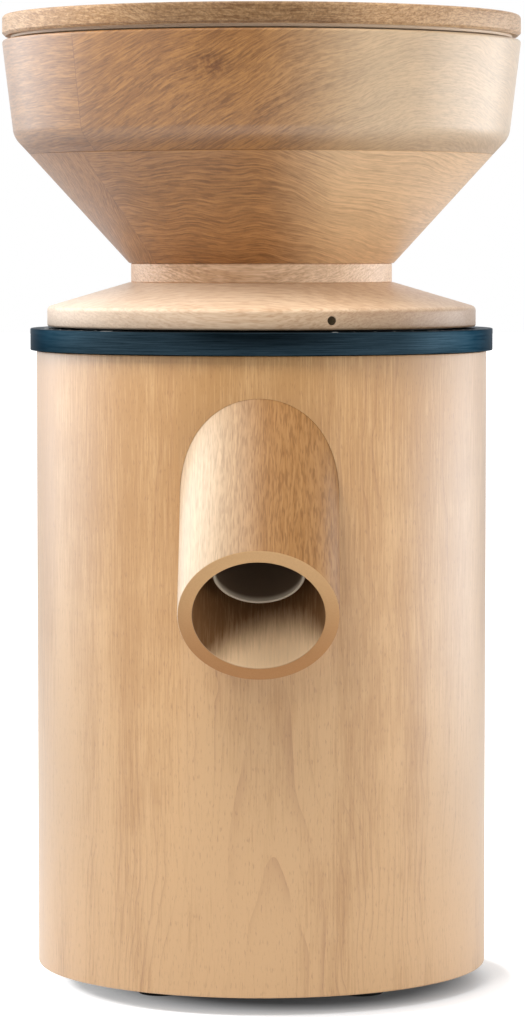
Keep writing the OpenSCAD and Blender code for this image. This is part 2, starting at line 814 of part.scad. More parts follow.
// Hub that carries the lower stone, with vanes that sweep the flour round to the outlet
module stone_hub() {
    r = stone_d / 2;
    vane_r = chamber_r - 1.5;                 // clears the chamber's wall
    vane_gap = 1;                             // room between a vane and the stone
    vane_w = 3;
    color("gainsboro") difference() {
        union() {
            disc(r, hub_z0, lower_z0);
            disc(boss_r, hub_z0 - boss_len, hub_z0);
            around(vanes, 0) {
                translate([r - 2 * vane_w, -vane_w, hub_z0])
                    cube([vane_r - r + 2 * vane_w, 2 * vane_w, hub_t]);
                translate([r + vane_gap, -vane_w / 2, hub_z0])
                    cube([vane_r - r - vane_gap, vane_w, stone_t]);
            }
        }
        disc(shaft_r + glue_gap, hub_z0 - boss_len - over, shaft_z1);
        disc(stem_r + glue_gap, shaft_z1 - over, lower_z0 + over);
    }
}

// Feed screw: a stem clamps the lower stone, and a short auger draws the grain down the eye
module feed_screw() {
    clamp_t = 1.5;                            // flange that presses on the lower stone
    flight_r = 1.6;                           // half the thickness of the flight
    reach = auger_r - 1;                      // middle of the flight's round edge
    z0 = lower_z1 - bevel_depth;
    z1 = z0 + clamp_t;
    color("silver") {
        disc(stem_r, shaft_z1, z0);
        disc(reach, z0, z1);
        translate([0, 0, z1]) linear_extrude(height = auger_z1 - z1, twist = 300, slices = 24, $fn = 20) {
            circle(r = stem_r - 2);
            translate([0, -flight_r]) square([reach, 2 * flight_r]);
            translate([reach, 0]) circle(r = flight_r, $fn = 12);
        }
    }
}

// ---- Motor ----

// Upper end bell, screwed to the underside of the mill chamber
module motor_upper_bell() {
    z0 = upper_bell_z0;
    seat_r = bearing_r + glue_gap;
    seat_out = bearing_r + bearing_wall;
    difference() {
        color("darkgray") turned([
            [collar_r, floor_z0], [bell_top_r, floor_z0], [motor_r, z0 + bell_edge], [motor_r, z0],
            [core_r, z0], [core_r, z0 - bell_lip], [bell_rim_r, z0 - bell_lip], [bell_rim_r, z0 + bell_roof],
            [seat_out, z0 + 2 * bell_roof], [seat_out, z0 + bearing_mouth], [seat_r, z0 + bearing_mouth],
            [seat_r, upper_bearing_z + bearing_t], [collar_r, upper_bearing_z + bearing_t]
        ]);
        disc(boss_r + boss_gap, hub_z0 - boss_len - boss_gap, floor_z0 + over);
        mount_screw_places() screw_hole(m5_r, floor_t + mount_grip);
        bolt_places() disc(m5_r + hole_gap, z0 - bell_lip - over, z0 + bolt_grip + over);
    }
}

// Screws through the chamber's floor into the upper bell
module motor_mount_screws() {
    color("dimgray") mount_screw_places() countersunk(m5_r, floor_t + mount_grip);
}

// Rolled steel can around the stator
module motor_can() {
    color("slategray") tube(motor_r, motor_r - can_wall, lower_bell_z1, upper_bell_z0);
}

// Stack of stator laminations with winding slots
module stator_core() {
    bore = rotor_d / 2 + 0.5;                 // air gap round the rotor
    color("gray") difference() {
        tube(core_r, bore, core_z0, core_z1);
        around(slots, slot_ring) slot(slot_len, slot_w, core_z0 - over, core_h + 2 * over);
        bolt_places() disc(m5_r + hole_gap, core_z0 - over, core_z1 + over);
    }
}

// Winding: two end-turn rings joined by the bars in the slots
module windings() {
    r0 = slot_ring - slot_len / 2 - slot_w / 2;
    r1 = slot_ring + slot_len / 2 + slot_w / 2;
    soft = 2;                                 // rounding of the end turns
    color("chocolate") {
        around(slots, slot_ring) translate([-slot_len / 2, glue_gap - slot_w / 2, core_z0 - over])
            cube([slot_len, slot_w - 2 * glue_gap, core_h + 2 * over]);
        for (z = [core_z0 - turn_h, core_z1]) translate([0, 0, z]) turned(concat(
            rounded([r1, 0], [r0, 0], [r0, turn_h], soft, 3),
            rounded([r0, 0], [r0, turn_h], [r1, turn_h], soft, 3),
            rounded([r0, turn_h], [r1, turn_h], [r1, 0], soft, 3),
            rounded([r1, turn_h], [r1, 0], [r0, 0], soft, 3)
        ));
    }
}

// Rotor: a laminated drum with a cast cage ring at each end
module rotor() {
    r = rotor_d / 2;
    cage = 5;                                 // height of a cage ring
    // One end's outline: radius, and height past the core
    end = [
        [shaft_r + glue_gap, rotor_end], [r - 9, rotor_end], [r - 9, 2],
        [r - 6, cage], [r - 2, cage], [r - 2, 0], [r, 0]
    ];
    color("lightslategray") turned(concat(
        [for (p = end) [p.x, core_z0 - p.y]],
        [for (i = [len(end) - 1:-1:0]) [end[i].x, core_z1 + end[i].y]]
    ));
}

// Motor shaft, from the fan up into the stone hub
module motor_shaft() {
    keyway_w = 4;
    keyway_depth = 1.5;
    color("silver") difference() {
        union() {
            disc(shaft_r, shaft_z0, shaft_z1);
            disc(collar_r, lower_bearing_z + bearing_t + seat_gap, core_z0 - rotor_end);
            disc(collar_r, core_z1 + rotor_end, upper_bearing_z - seat_gap);
        }
        translate([shaft_r - keyway_depth, -keyway_w / 2, shaft_z0 - over])
            cube([keyway_depth + over, keyway_w, fan_h + over]);
    }
}

// Shielded ball bearing
module bearing(z) {
    groove = 0.6;                             // how far the shields lie back
    race = 3;
    inner = shaft_r + race;
    outer = bearing_r - race;
    color("lightsteelblue") translate([0, 0, z]) turned([
        [shaft_r + run_gap, 0], [inner, 0], [inner, groove], [outer, groove], [outer, 0], [bearing_r, 0],
        [bearing_r, bearing_t], [outer, bearing_t], [outer, bearing_t - groove],
        [inner, bearing_t - groove], [inner, bearing_t], [shaft_r + run_gap, bearing_t]
    ]);
}

module upper_bearing() {
    bearing(upper_bearing_z);
}

module lower_bearing() {
    bearing(lower_bearing_z);
}

// Lower end bell with windows for the cooling air
module motor_lower_bell() {
    z0 = lower_bell_z0;
    z1 = lower_bell_z1;
    seat_r = bearing_r + glue_gap;
    seat_out = bearing_r + bearing_wall;
    seat_z1 = lower_bearing_z + bearing_t;
    windows = 8;
    window = 8;                               // width of a window, and length of its straight part
    color("darkgray") difference() {
        turned([
            [collar_r, z0], [motor_r - bell_chamfer, z0], [motor_r, z0 + bell_chamfer], [motor_r, z1],
            [core_r, z1], [core_r, z1 + bell_lip], [bell_rim_r, z1 + bell_lip], [bell_rim_r, z0 + bell_floor],
            [seat_out, z0 + bell_floor], [seat_out, seat_z1], [seat_r, seat_z1],
            [seat_r, lower_bearing_z], [collar_r, lower_bearing_z]
        ]);
        around(windows, (seat_out + bell_rim_r) / 2, 180 / windows)
            slot(window, window, z0 - over, bell_floor + 2 * over);
        bolt_places() disc(m5_r + hole_gap, z0 - over, z1 + bell_lip + over);
    }
}

module bolt_places() {
    around(4, bolt_ring, 45) children();
}

// Long bolts that clamp the bells onto the core
module motor_bolts() {
    color("dimgray") bolt_places() translate([0, 0, lower_bell_z0])
        cap_screw(m5_r, upper_bell_z0 + bolt_grip - lower_bell_z0, cap_head_h);
}

// Fan on the lower end of the shaft
module cooling_fan() {
    hub_r = shaft_r + 5;
    blade_t = 1.6;
    plate = 2;
    root = 1;                                 // how far a blade reaches into the hub and the plate
    color("darkslategray") difference() {
        union() {
            disc(fan_d / 2, fan_z1 - plate, fan_z1);
            disc(hub_r, fan_z0, fan_z1);
            around(fan_blades, 0) translate([hub_r - root, -blade_t / 2, fan_z0])
                cube([fan_d / 2 - hub_r + root / 2, blade_t, fan_h - plate + root]);
        }
        disc(shaft_r + glue_gap, fan_z0 - over, fan_z1 + over);
    }
}

// ---- Electrics ----

// Run capacitor, lying beside the fan on the base plate
module run_capacitor() {
    tab_t = 0.8;
    tab_w = 4.8;
    color("whitesmoke") translate([capacitor_x, -capacitor_len / 2, capacitor_z]) rotate([-90, 0, 0]) {
        cylinder(d = capacitor_d, h = capacitor_len);
        for (side = [-1, 1]) translate([side * tab_reach - tab_t / 2, -tab_w / 2, capacitor_len])
            cube([tab_t, tab_w, tab_len]);
    }
}

// Clip that straps the capacitor to the base plate
module capacitor_clip() {
    r = capacitor_d / 2 + glue_gap;
    width = 12;
    foot = 10;
    color("silver") translate([capacitor_x, -width / 2, 0]) {
        translate([0, 0, capacitor_z]) rotate([-90, 0, 0]) difference() {
            cylinder(r = r + clip_wall, h = width);
            translate([0, 0, -over]) cylinder(r = r, h = width + 2 * over);
        }
        translate([-foot / 2, 0, plate_z1]) difference() {
            cube([foot, width, capacitor_lift + clip_wall]);
            translate([foot / 2, -over, capacitor_z - plate_z1]) rotate([-90, 0, 0])
                cylinder(r = r, h = width + 2 * over);
        }
    }
}

// Terminal block that joins the cord, the switch and the motor
module terminal_block() {
    block_floor = 4;
    color("ivory") difference() {
        translate([block_x - block_w / 2, block_y - block_d / 2, plate_z1]) cube([block_w, block_d, block_h]);
        for (i = [-1.5:1.5]) translate([block_x + i * pole_step, block_y, plate_z1 + block_floor])
            cylinder(r = m4_r, h = block_h);
    }
}

// Ring of points round each bend of a lead's route
function lead_ring(route, i) =
    let (
        last = len(route) - 1,
        ahead = route[min(i + 1, last)] - route[i],
        behind = route[i] - route[max(i - 1, 0)],
        t = (i < last ? ahead / norm(ahead) : [0, 0, 0]) + (i > 0 ? behind / norm(behind) : [0, 0, 0]),
        side = cross(t, [0.2, 0.3, 1]),
        u = side / norm(side),
        v = cross(t, u) / norm(t)
    )
    [for (k = [0:lead_sides - 1]) let (a = k * 360 / lead_sides) route[i] + lead_r * (cos(a) * u + sin(a) * v)];

// Insulated lead that follows a route
module lead(route) {
    n = lead_sides;
    last = len(route) - 1;
    points = [for (i = [0:last]) each lead_ring(route, i)];
    walls = [for (i = [0:last - 1], k = [0:n - 1])
        let (j = (k + 1) % n, low = i * n, high = low + n)
        each [[low + k, high + k, high + j], [low + k, high + j, low + j]]];
    ends = [[for (k = [0:n - 1]) k], [for (k = [n - 1:-1:0]) last * n + k]];
    polyhedron(points, concat(walls, ends), convexity = 6);
}

// Leads from the terminal block to the switch, the motor and the capacitor
module internal_leads() {
    top = plate_z1 + block_h + glue_gap;
    switch_back = panel_y - switch_depth - glue_gap;
    block_end = block_x - block_w / 2 - glue_gap;
    cap_end = capacitor_len / 2 + tab_len + glue_gap;
    motor_turn = 54;                          // where the motor's lead goes in, from the right
    toward = [cos(motor_turn), sin(motor_turn), 0];
    bell_entry = (motor_r + glue_gap + lead_gap) * toward + [0, 0, lower_bell_z0 + lower_bell_h / 2];
    color("firebrick") {
        for (side = [-1, 1]) lead([
            [side * pole_step / 2, switch_back, switch_z],
            [side * pole_step / 2, switch_back - lead_out, switch_z],
            [block_x + (side / 2 - 1) * pole_step, block_y, top + 3 * lead_out],
            [block_x + (side / 2 - 1) * pole_step, block_y, top]
        ]);
        lead([
            [block_x + 1.5 * pole_step, block_y, top],
            [block_x + 1.5 * pole_step, block_y, top + 3 * lead_out],
            bell_entry + lead_out * toward,
            bell_entry
        ]);
        lead([
            [block_end, block_y, plate_z1 + block_h / 2],
            [block_end - lead_out, block_y, plate_z1 + block_h / 2],
            [0, block_y, plate_z1 + lead_out],
            [capacitor_x + tab_reach, cap_end + 3 * lead_out, plate_z1 + block_h / 2],
            [capacitor_x + tab_reach, cap_end + lead_out, capacitor_z],
            [capacitor_x + tab_reach, cap_end, capacitor_z]
        ]);
    }
}

// Body of the rocker switch, snapped into the back of the body
module switch_housing() {
    well_w = rocker_w + 2 * seat_gap;
    well_h = rocker_len + 2 * rocker_gap;
    color("dimgray") difference() {
        union() {
            translate([-bezel_w / 2, panel_y, switch_z - bezel_h / 2]) cube([bezel_w, bezel_t, bezel_h]);
            translate([-switch_w / 2, panel_y - switch_depth, switch_z - switch_body_h / 2])
                cube([switch_w, switch_depth, switch_body_h]);
        }
        translate([-well_w / 2, panel_y - well_depth, switch_z - well_h / 2])
            cube([well_w, 2 * well_depth, well_h]);
        at_pivot() cylinder(r = pivot_r + run_gap, h = well_w + 2 * pin_grip + 4 * glue_gap, center = true);
    }
}

module at_pivot() {
    translate([0, pivot_y, switch_z]) rotate([0, 90, 0]) children();
}

// Rocker: a two-sloped cap that tilts on its side pins, at rest in its off position
module rocker() {
    half = rocker_len / 2;
    crest = 7.2;                              // height of the cap's ends over the pivot
    dip = 5.2;                                // height of its middle
    side = 2;                                 // lower edge of its upright ends
    keel = 4;                                 // depth under the pivot
    taper = 3;
    color("black") translate([0, pivot_y, switch_z]) rotate([-rocker_tilt, 0, 0]) {
        rotate([90, 0, 90]) translate([0, 0, -rocker_w / 2]) linear_extrude(height = rocker_w)
            polygon([
                [-keel, taper - half], [side, -half], [crest, -half], [dip, 0],
                [crest, half], [side, half], [-keel, half - taper]
            ]);
        rotate([0, 90, 0]) cylinder(r = pivot_r, h = rocker_w + 2 * seat_gap + 2 * pin_grip, center = true);
    }
}

// Frame of the cord gland: z = 0 at the given distance behind the axis, +Z out of the back
module at_gland(y) {
    translate([0, y, gland_z]) rotate([-90, 0, 0]) children();
}

// Cord gland: a flanged bush through the back of the body
module cord_gland() {
    color("dimgray") at_gland(inner_r - gland_in) difference() {
        union() {
            cylinder(r = gland_shank_r, h = panel_y - inner_r + gland_in);
            translate([0, 0, panel_y - inner_r + gland_in])
                cylinder(r1 = gland_flange_r, r2 = gland_flange_r - gland_taper, h = gland_flange_t);
        }
        translate([0, 0, -over])
            cylinder(d = gland_bore, h = gland_in + body_wall + gland_flange_t + 2 * over);
    }
}

// Nut that holds the gland against the inside of the body
module gland_nut() {
    color("gray") at_gland(nut_y - nut_t) difference() {
        cylinder(r = nut_r, h = nut_t, $fn = 6);
        translate([0, 0, -over]) cylinder(r = gland_shank_r + glue_gap, h = nut_t + 2 * over);
    }
}

// ---- Base ----

// Steel base plate with a ring of intake slots and a ring of outlet slots
module base_plate() {
    color("darkgray") difference() {
        disc(rebate_r - seat_gap, plate_z0, plate_z1);
        around(vent_count, inner_vent_ring)
            slot(inner_vent_len, vent_w, plate_z0 - over, plate_t + 2 * over);
        around(vent_count, outer_vent_ring, 180 / vent_count)
            slot(outer_vent_len, vent_w, plate_z0 - over, plate_t + 2 * over);
        at_rods() disc(rod_d / 2 + glue_gap, plate_z0 - over, plate_z1 + over);
        at_feet() disc(m4_r + hole_gap, plate_z0 - over, plate_z1 + over);
    }
}

module at_feet() {
    around(4, foot_reach, 45) children();
}

// Rubber feet with a recess for their screws
module rubber_feet() {
    r = foot_d / 2;
    hole_r = m4_r + hole_gap;
    draft = 1;
    color("black") at_feet() turned(concat(
        [[foot_recess_r, 0]],
        rounded([foot_recess_r, 0], [r - draft, 0], [r, plate_z0], 1),
        [[r, plate_z0], [hole_r, plate_z0], [hole_r, foot_recess], [foot_recess_r, foot_recess]]
    ));
}

// Pan-head screws of the feet
module foot_screws() {
    color("silver") at_feet() translate([0, 0, foot_recess]) {
        cylinder(r = m4_r, h = plate_z1 - foot_recess);
        translate([0, 0, -m4_r]) cylinder(r1 = 1.5 * m4_r, r2 = 2 * m4_r, h = m4_r);
    }
}

lid();
hopper_rim();
hopper_cone();
hopper_neck();
hopper_base();
setting_dot();
finger_guard();
stone_holder();
holder_screws();
upper_stone();
thrust_ring();
wave_spring();
top_ring();
body_shell();
spout();
outlet_tube();
tie_rods();
mill_chamber();
chamber_screws();
lower_stone();
stone_hub();
feed_screw();
motor_upper_bell();
motor_mount_screws();
motor_can();
stator_core();
windings();
rotor();
motor_shaft();
upper_bearing();
lower_bearing();
motor_lower_bell();
motor_bolts();
cooling_fan();
run_capacitor();
capacitor_clip();
terminal_block();
internal_leads();
switch_housing();
rocker();
cord_gland();
gland_nut();
base_plate();
rubber_feet();
foot_screws();
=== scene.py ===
import math

import bmesh
import bpy
from mathutils import Matrix, Vector


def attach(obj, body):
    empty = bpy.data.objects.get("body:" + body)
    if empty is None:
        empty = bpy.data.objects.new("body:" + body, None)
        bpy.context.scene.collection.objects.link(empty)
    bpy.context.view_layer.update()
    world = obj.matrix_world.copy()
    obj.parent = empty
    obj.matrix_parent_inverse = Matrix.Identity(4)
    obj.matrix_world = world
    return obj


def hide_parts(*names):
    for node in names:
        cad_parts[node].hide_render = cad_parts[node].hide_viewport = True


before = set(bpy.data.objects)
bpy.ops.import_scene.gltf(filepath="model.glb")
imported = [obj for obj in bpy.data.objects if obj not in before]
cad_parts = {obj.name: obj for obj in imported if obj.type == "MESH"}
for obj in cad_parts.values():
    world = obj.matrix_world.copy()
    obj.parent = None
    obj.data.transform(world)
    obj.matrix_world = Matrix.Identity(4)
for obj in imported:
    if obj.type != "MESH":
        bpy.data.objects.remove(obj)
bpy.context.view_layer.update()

# ---- Base plate ----
# A round sheet-steel plate in black powder coat closes the body from below, with two rings
# of slots for the motor's air. Pan-head screws and the heads of the tie rods are zinc plated.

mm = 0.001


class Signal:
    """A value, vector or colour on its way through the nodes of one material."""

    def __init__(self, tree, socket):
        self.tree = tree
        self.socket = socket

    def node(self, kind, settings, values, output=0):
        """Adds a node: first its settings, then the values or links of its sockets."""
        made = self.tree.nodes.new("ShaderNode" + kind)
        for setting, value in settings.items():
            setattr(made, setting, value)
        for key, value in values.items():
            if isinstance(value, Signal):
                self.tree.links.new(value.socket, made.inputs[key])
            else:
                made.inputs[key].default_value = value
        return Signal(self.tree, made.outputs[output])

    def math(self, operation, *values):
        return self.node("Math", {"operation": operation}, dict(enumerate(values)))

    def alone(self, operation):
        """An operation on this value alone, such as its square root."""
        return self.math(operation, self)

    def beside(self, other):
        """The distance to a point that lies this far along one axis and other along the next."""
        return (self * self + other * other).alone("SQRT")

    def __add__(self, other):
        return self.math("ADD", self, other)

    def __sub__(self, other):
        return self.math("SUBTRACT", self, other)

    def __rsub__(self, other):
        return self.math("SUBTRACT", other, self)

    def __mul__(self, other):
        return self.math("MULTIPLY", self, other)

    def __truediv__(self, other):
        return self.math("DIVIDE", self, other)

    def __pow__(self, other):
        return self.math("POWER", self, other)

    __radd__ = __add__
    __rmul__ = __mul__

    def axes(self):
        """The three values of a vector."""
        made = self.tree.nodes.new("ShaderNodeSeparateXYZ")
        self.tree.links.new(self.socket, made.inputs[0])
        return [Signal(self.tree, output) for output in made.outputs]

    def vector(self, x, y, z):
        return self.node("CombineXYZ", {}, {0: x, 1: y, 2: z})

    def scaled(self, x, y, z):
        """A vector stretched along its axes."""
        return self.node("VectorMath", {"operation": "MULTIPLY"}, {0: self, 1: (x, y, z)})

    def noise(self, scale, detail=2.0, roughness=0.5):
        values = {"Vector": self, "Scale": scale, "Detail": detail, "Roughness": roughness}
        return self.node("TexNoise", {"noise_dimensions": "3D"}, values)

    def bands(self, detail=2.0, roughness=0.6):
        """Noise along one value."""
        values = {"W": self, "Scale": 1.0, "Detail": detail, "Roughness": roughness}
        return self.node("TexNoise", {"noise_dimensions": "1D"}, values)

    def between(self, low, high, kind="SMOOTHSTEP"):
        """Rises from 0 to 1 as the value goes from low to high."""
        values = {"Value": self, "From Min": low, "From Max": high}
        return self.node("MapRange", {"interpolation_type": kind}, values)

    def blend(self, first, second, kind="MIX"):
        """Goes from the first colour to the second as the value goes from 0 to 1."""
        settings = {"data_type": "RGBA", "blend_type": kind}
        colours = [c if isinstance(c, Signal) else (*c, 1.0) for c in (first, second)]
        return self.node("Mix", settings, {0: self, 6: colours[0], 7: colours[1]}, output=2)

    def bump(self, strength, depth):
        """A normal that makes the value stand up to depth millimetres high."""
        values = {"Height": self, "Strength": strength, "Distance": depth * mm}
        return self.node("Bump", {}, values)


def finish(name, steady, paint):
    """A material: steady values on its shader's sockets, and what paint gives for the others."""
    made = bpy.data.materials.new(name)
    made.use_nodes = True
    tree = made.node_tree
    shader = tree.nodes["Principled BSDF"]
    for socket, value in steady.items():
        shader.inputs[socket].default_value = value
    metres = Signal(tree, tree.nodes.new("ShaderNodeTexCoord").outputs["Object"])
    place = metres.scaled(1000, 1000, 1000)
    for socket, signal in paint(place).items():
        tree.links.new(signal.socket, shader.inputs[socket])
    return made


def coat(material, *nodes):
    """Gives CAD nodes a material."""
    for name in nodes:
        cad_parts[name].material_slots[0].material = material


def powder_coat(place):
    grit = place.noise(1.6, 3)
    dust = place.noise(0.03, 2).between(0.45, 0.75)
    return {
        "Base Color": grit.blend((0.012, 0.012, 0.014), (0.022, 0.022, 0.024)),
        "Roughness": 0.48 + 0.12 * dust + 0.1 * grit,
        "Normal": grit.bump(0.35, 0.06),
    }


def zinc_plating(place):
    turned_marks = place.scaled(3, 3, 9).noise(1.0, 3)
    tarnish = place.noise(0.09, 3).between(0.4, 0.7)
    return {
        "Base Color": tarnish.blend((0.58, 0.58, 0.57), (0.44, 0.43, 0.41)),
        "Roughness": 0.26 + 0.16 * turned_marks + 0.08 * tarnish,
        "Normal": turned_marks.bump(0.15, 0.02),
    }


coat(finish("black_powder_coat", {}, powder_coat), "base_plate")
zinc = finish("zinc_plating", {"Metallic": 1.0}, zinc_plating)
coat(zinc, "foot_screws", "tie_rods")

# ---- Feet ----
# Four moulded rubber feet, each with a recess for its screw and a softly rounded tread.
# They carry a little dust, and lift the wood 7 mm clear of the table.


def matt_rubber(place):
    grain = place.noise(2.5, 3)
    dust = place.noise(0.12, 2).between(0.5, 0.8)
    return {
        "Base Color": (grain * 0.4 + dust * 0.5).blend(
            (0.012, 0.012, 0.012), (0.04, 0.038, 0.036)),
        "Roughness": 0.72 + 0.15 * grain,
        "Normal": grain.bump(0.3, 0.05),
    }


def ease(shape, edges, width, segments):
    """Rounds edges, or chamfers them in one segment, to a width in millimetres."""
    bmesh.ops.bevel(
        shape, geom=edges, offset=width * mm, segments=segments, profile=0.5,
        affect="EDGES", material=-1,
    )


def turned(outline, eased=(), steps=160):
    """A shape turned round the Z axis from [radius, height] corners in millimetres. Each row of
    eased names a corner, and the width and steps of its rounding."""
    near = 0.01 * mm
    shape = bmesh.new()
    corners = [shape.verts.new((0, -r * mm, z * mm)) for r, z in outline]
    on_axis = outline[0][0] == 0 and outline[-1][0] == 0
    for first, second in zip(corners, corners[1:] if on_axis else corners[1:] + corners[:1]):
        shape.edges.new((first, second))
    bmesh.ops.spin(
        shape, geom=shape.verts[:] + shape.edges[:], cent=(0, 0, 0), axis=(0, 0, 1),
        angle=2 * math.pi, steps=steps, use_merge=True,
    )
    bmesh.ops.remove_doubles(shape, verts=shape.verts, dist=1e-6)
    bmesh.ops.recalc_face_normals(shape, faces=shape.faces)
    for r, z, width, segments in eased:
        corner = {
            v for v in shape.verts
            if abs(v.co.xy.length - r * mm) < near and abs(v.co.z - z * mm) < near
        }
        rim = [edge for edge in shape.edges if corner.issuperset(edge.verts)]
        ease(shape, rim, width, segments)
    return shape


def solid(name, *shapes):
    """One object of one or more finished shapes, which are in place in metres."""
    mesh = bpy.data.meshes.new(name)
    whole = bmesh.new()
    for shape in shapes:
        shape.to_mesh(mesh)
        whole.from_mesh(mesh)
        shape.free()
    whole.to_mesh(mesh)
    whole.free()
    made = bpy.data.objects.new(name, mesh)
    bpy.context.scene.collection.objects.link(made)
    return made


def fit(made, material, body, slot, *nodes, sharp=30):
    """Finishes a piece, and puts it on its body in place of CAD nodes."""
    made.data.shade_smooth()
    made.data.set_sharp_from_angle(angle=math.radians(sharp))
    made.data.materials.clear()
    made.data.materials.append(material)
    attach(made, body)
    if nodes:
        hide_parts(*nodes)


def moved(shape, *steps):
    """A shape after matrices, the first one first."""
    for step in steps:
        bmesh.ops.transform(shape, matrix=step, verts=shape.verts)
    return shape


feet = []
foot_reach = 56
recess_r, screw_r, plate_foot = 5, 2.1, 8
for quarter in range(4):
    foot = turned(
        [
            [recess_r, 0], [9, 0], [10, plate_foot], [screw_r, plate_foot], [screw_r, 3.5],
            [recess_r, 3.5],
        ],
        [(9, 0, 1.2, 3), (recess_r, 0, 0.5, 2)], steps=48,
    )
    turn = Matrix.Rotation(math.radians(45 + 90 * quarter), 4, "Z")
    feet.append(moved(foot, Matrix.Translation((foot_reach * mm, 0, 0)), turn))
fit(solid("feet_moulded", *feet), finish("matt_rubber", {"IOR": 1.45}, matt_rubber),
    "housing", "foot_rubber", "rubber_feet")

# ---- Electrics on the base plate ----
# A run capacitor lies in a bright clip, and a white terminal block joins its leads to those of
# the switch and the motor. All of it is closed in by the body.


def moulded_plastic(dark, light, grain_scale=2.0, rough=0.45):
    """Paint of a moulded plastic with a fine grain, slightly uneven in its gloss."""
    def paint(place):
        grain = place.noise(grain_scale, 2)
        flow = place.noise(0.06, 2)
        return {
            "Base Color": (grain * 0.4 + flow * 0.6).blend(dark, light),
            "Roughness": rough + 0.14 * grain,
            "Normal": grain.bump(0.12, 0.03),
        }
    return paint


white = finish("white_plastic", {}, moulded_plastic((0.55, 0.55, 0.50), (0.68, 0.68, 0.64)))
coat(white, "run_capacitor", "terminal_block")
coat(zinc, "capacitor_clip")
red_plastic = moulded_plastic((0.13, 0.012, 0.008), (0.22, 0.022, 0.016), 0.8, 0.3)
coat(finish("lead_insulation", {}, red_plastic), "internal_leads")

# ---- Motor ----
# An induction motor: a grey enamelled can between two cast end bells, a stack of stator
# laminations with enamelled copper windings, a caged rotor on a ground shaft, and a fan.


def cast_metal(place):
    skin = place.noise(0.9, 4, 0.6)
    tone = place.noise(0.05, 2)
    return {
        "Base Color": tone.blend((0.46, 0.47, 0.48), (0.60, 0.61, 0.62)),
        "Roughness": 0.36 + 0.22 * skin,
        "Normal": skin.bump(0.3, 0.12),
    }


def enamel(place):
    peel = place.noise(0.7, 2)
    return {
        "Base Color": peel.blend((0.052, 0.058, 0.064), (0.074, 0.081, 0.088)),
        "Roughness": 0.34 + 0.1 * peel,
        "Normal": peel.bump(0.2, 0.08),
    }


def stacked_sheet(place):
    x, y, z = place.axes()
    sheets = (z * 2).alone("FRACT").between(0.0, 0.35)
    oxide = place.noise(0.12, 3)
    return {
        "Base Color": (sheets * 0.5 + oxide * 0.5).blend(
            (0.16, 0.155, 0.15), (0.36, 0.36, 0.355)),
        "Roughness": 0.3 + 0.25 * oxide,
        "Normal": sheets.bump(0.4, 0.08),
    }


def enamelled_copper(place):
    strands = place.scaled(0.25, 0.25, 2.4).noise(1.0, 3)
    return {
        "Base Color": strands.blend((0.30, 0.085, 0.03), (0.62, 0.24, 0.10)),
        "Roughness": 0.22 + 0.2 * strands,
        "Normal": strands.between(0.35, 0.65).bump(0.6, 0.25),
    }


castings = finish("cast_aluminium", {"Metallic": 1.0}, cast_metal)
coat(castings, "motor_upper_bell", "motor_lower_bell")
coat(finish("motor_enamel", {"Metallic": 0.3}, enamel), "motor_can")
laminations = finish("stacked_laminations", {"Metallic": 1.0}, stacked_sheet)
coat(laminations, "stator_core", "rotor")
coat(finish("enamelled_copper", {"Metallic": 0.8}, enamelled_copper), "windings")
coat(zinc, "motor_shaft", "upper_bearing", "lower_bearing", "motor_bolts", "motor_mount_screws")
black_plastic = finish(
    "black_plastic", {}, moulded_plastic((0.010, 0.010, 0.011), (0.022, 0.022, 0.024), 2.6))
coat(black_plastic, "cooling_fan")

# ---- Mill chamber and lower stone ----
# A cast chamber on top of the motor, with a hub that carries the lower stone and sweeps the
# flour to the outlet. The stones are ceramic-bound grit, and the feed screw is stainless.


def bound_grit(place):
    coarse = place.noise(0.55, 3, 0.65)
    fine = place.noise(2.4, 2)
    flour = place.noise(0.05, 2).between(0.4, 0.7)
    specks = coarse.between(0.5, 0.62) * 0.6 + fine * 0.4
    stone = specks.blend((0.25, 0.235, 0.21), (0.50, 0.48, 0.44))
    return {
        "Base Color": (0.35 * flour).blend(stone, (0.7, 0.62, 0.5)),
        "Roughness": 0.85 + 0.1 * fine,
        "Normal": (coarse + fine * 0.5).bump(0.7, 0.3),
    }


def brushed_steel(place):
    strokes = place.scaled(0.15, 5, 2).noise(1.0, 3)
    return {
        "Base Color": strokes.blend((0.50, 0.50, 0.49), (0.66, 0.66, 0.65)),
        "Roughness": 0.24 + 0.16 * strokes,
        "Normal": strokes.bump(0.1, 0.02),
    }


coat(castings, "mill_chamber", "stone_hub")
grit = finish("ceramic_grit", {}, bound_grit)
coat(grit, "lower_stone")
stainless = finish("brushed_stainless", {"Metallic": 1.0}, brushed_steel)
coat(stainless, "feed_screw")
coat(zinc, "chamber_screws")

# ---- Ring ----
# A turned aluminium ring crowns the body, lacquered blue-black and finely brushed round its
# edge. Its upper face carries the setting scale, printed in white round the hopper's base.


def brushed_lacquer(place):
    x, y, z = place.axes()
    round_ring = y.math("ARCTAN2", y, x)
    strokes = place.vector(round_ring * 5, z * 5, x.beside(y) * 5).noise(1.0, 4, 0.7)
    cloud = place.noise(0.04, 2)
    tone = (strokes - 0.5) * 3.6 + 0.35 + cloud * 0.3
    return {
        "Base Color": tone.blend((0.010, 0.022, 0.031), (0.034, 0.060, 0.080)),
        "Roughness": 0.27 + 0.22 * strokes,
        "Normal": strokes.bump(0.8, 0.03),
    }


def settled(made):
    """The mesh of an object as its modifiers or its lettering give it."""
    bpy.context.view_layer.update()
    return bpy.data.meshes.new_from_object(
        made.evaluated_get(bpy.context.evaluated_depsgraph_get()))


def cut(made, *tools):
    """Cuts tools out of a piece as a drill or a router does, and clears them away."""
    for tool in tools:
        step = made.modifiers.new("cut", "BOOLEAN")
        step.object = tool
        step.solver = "EXACT"
    shaped = settled(made)
    made.modifiers.clear()
    made.data = shaped
    for tool in tools:
        bpy.data.objects.remove(tool)


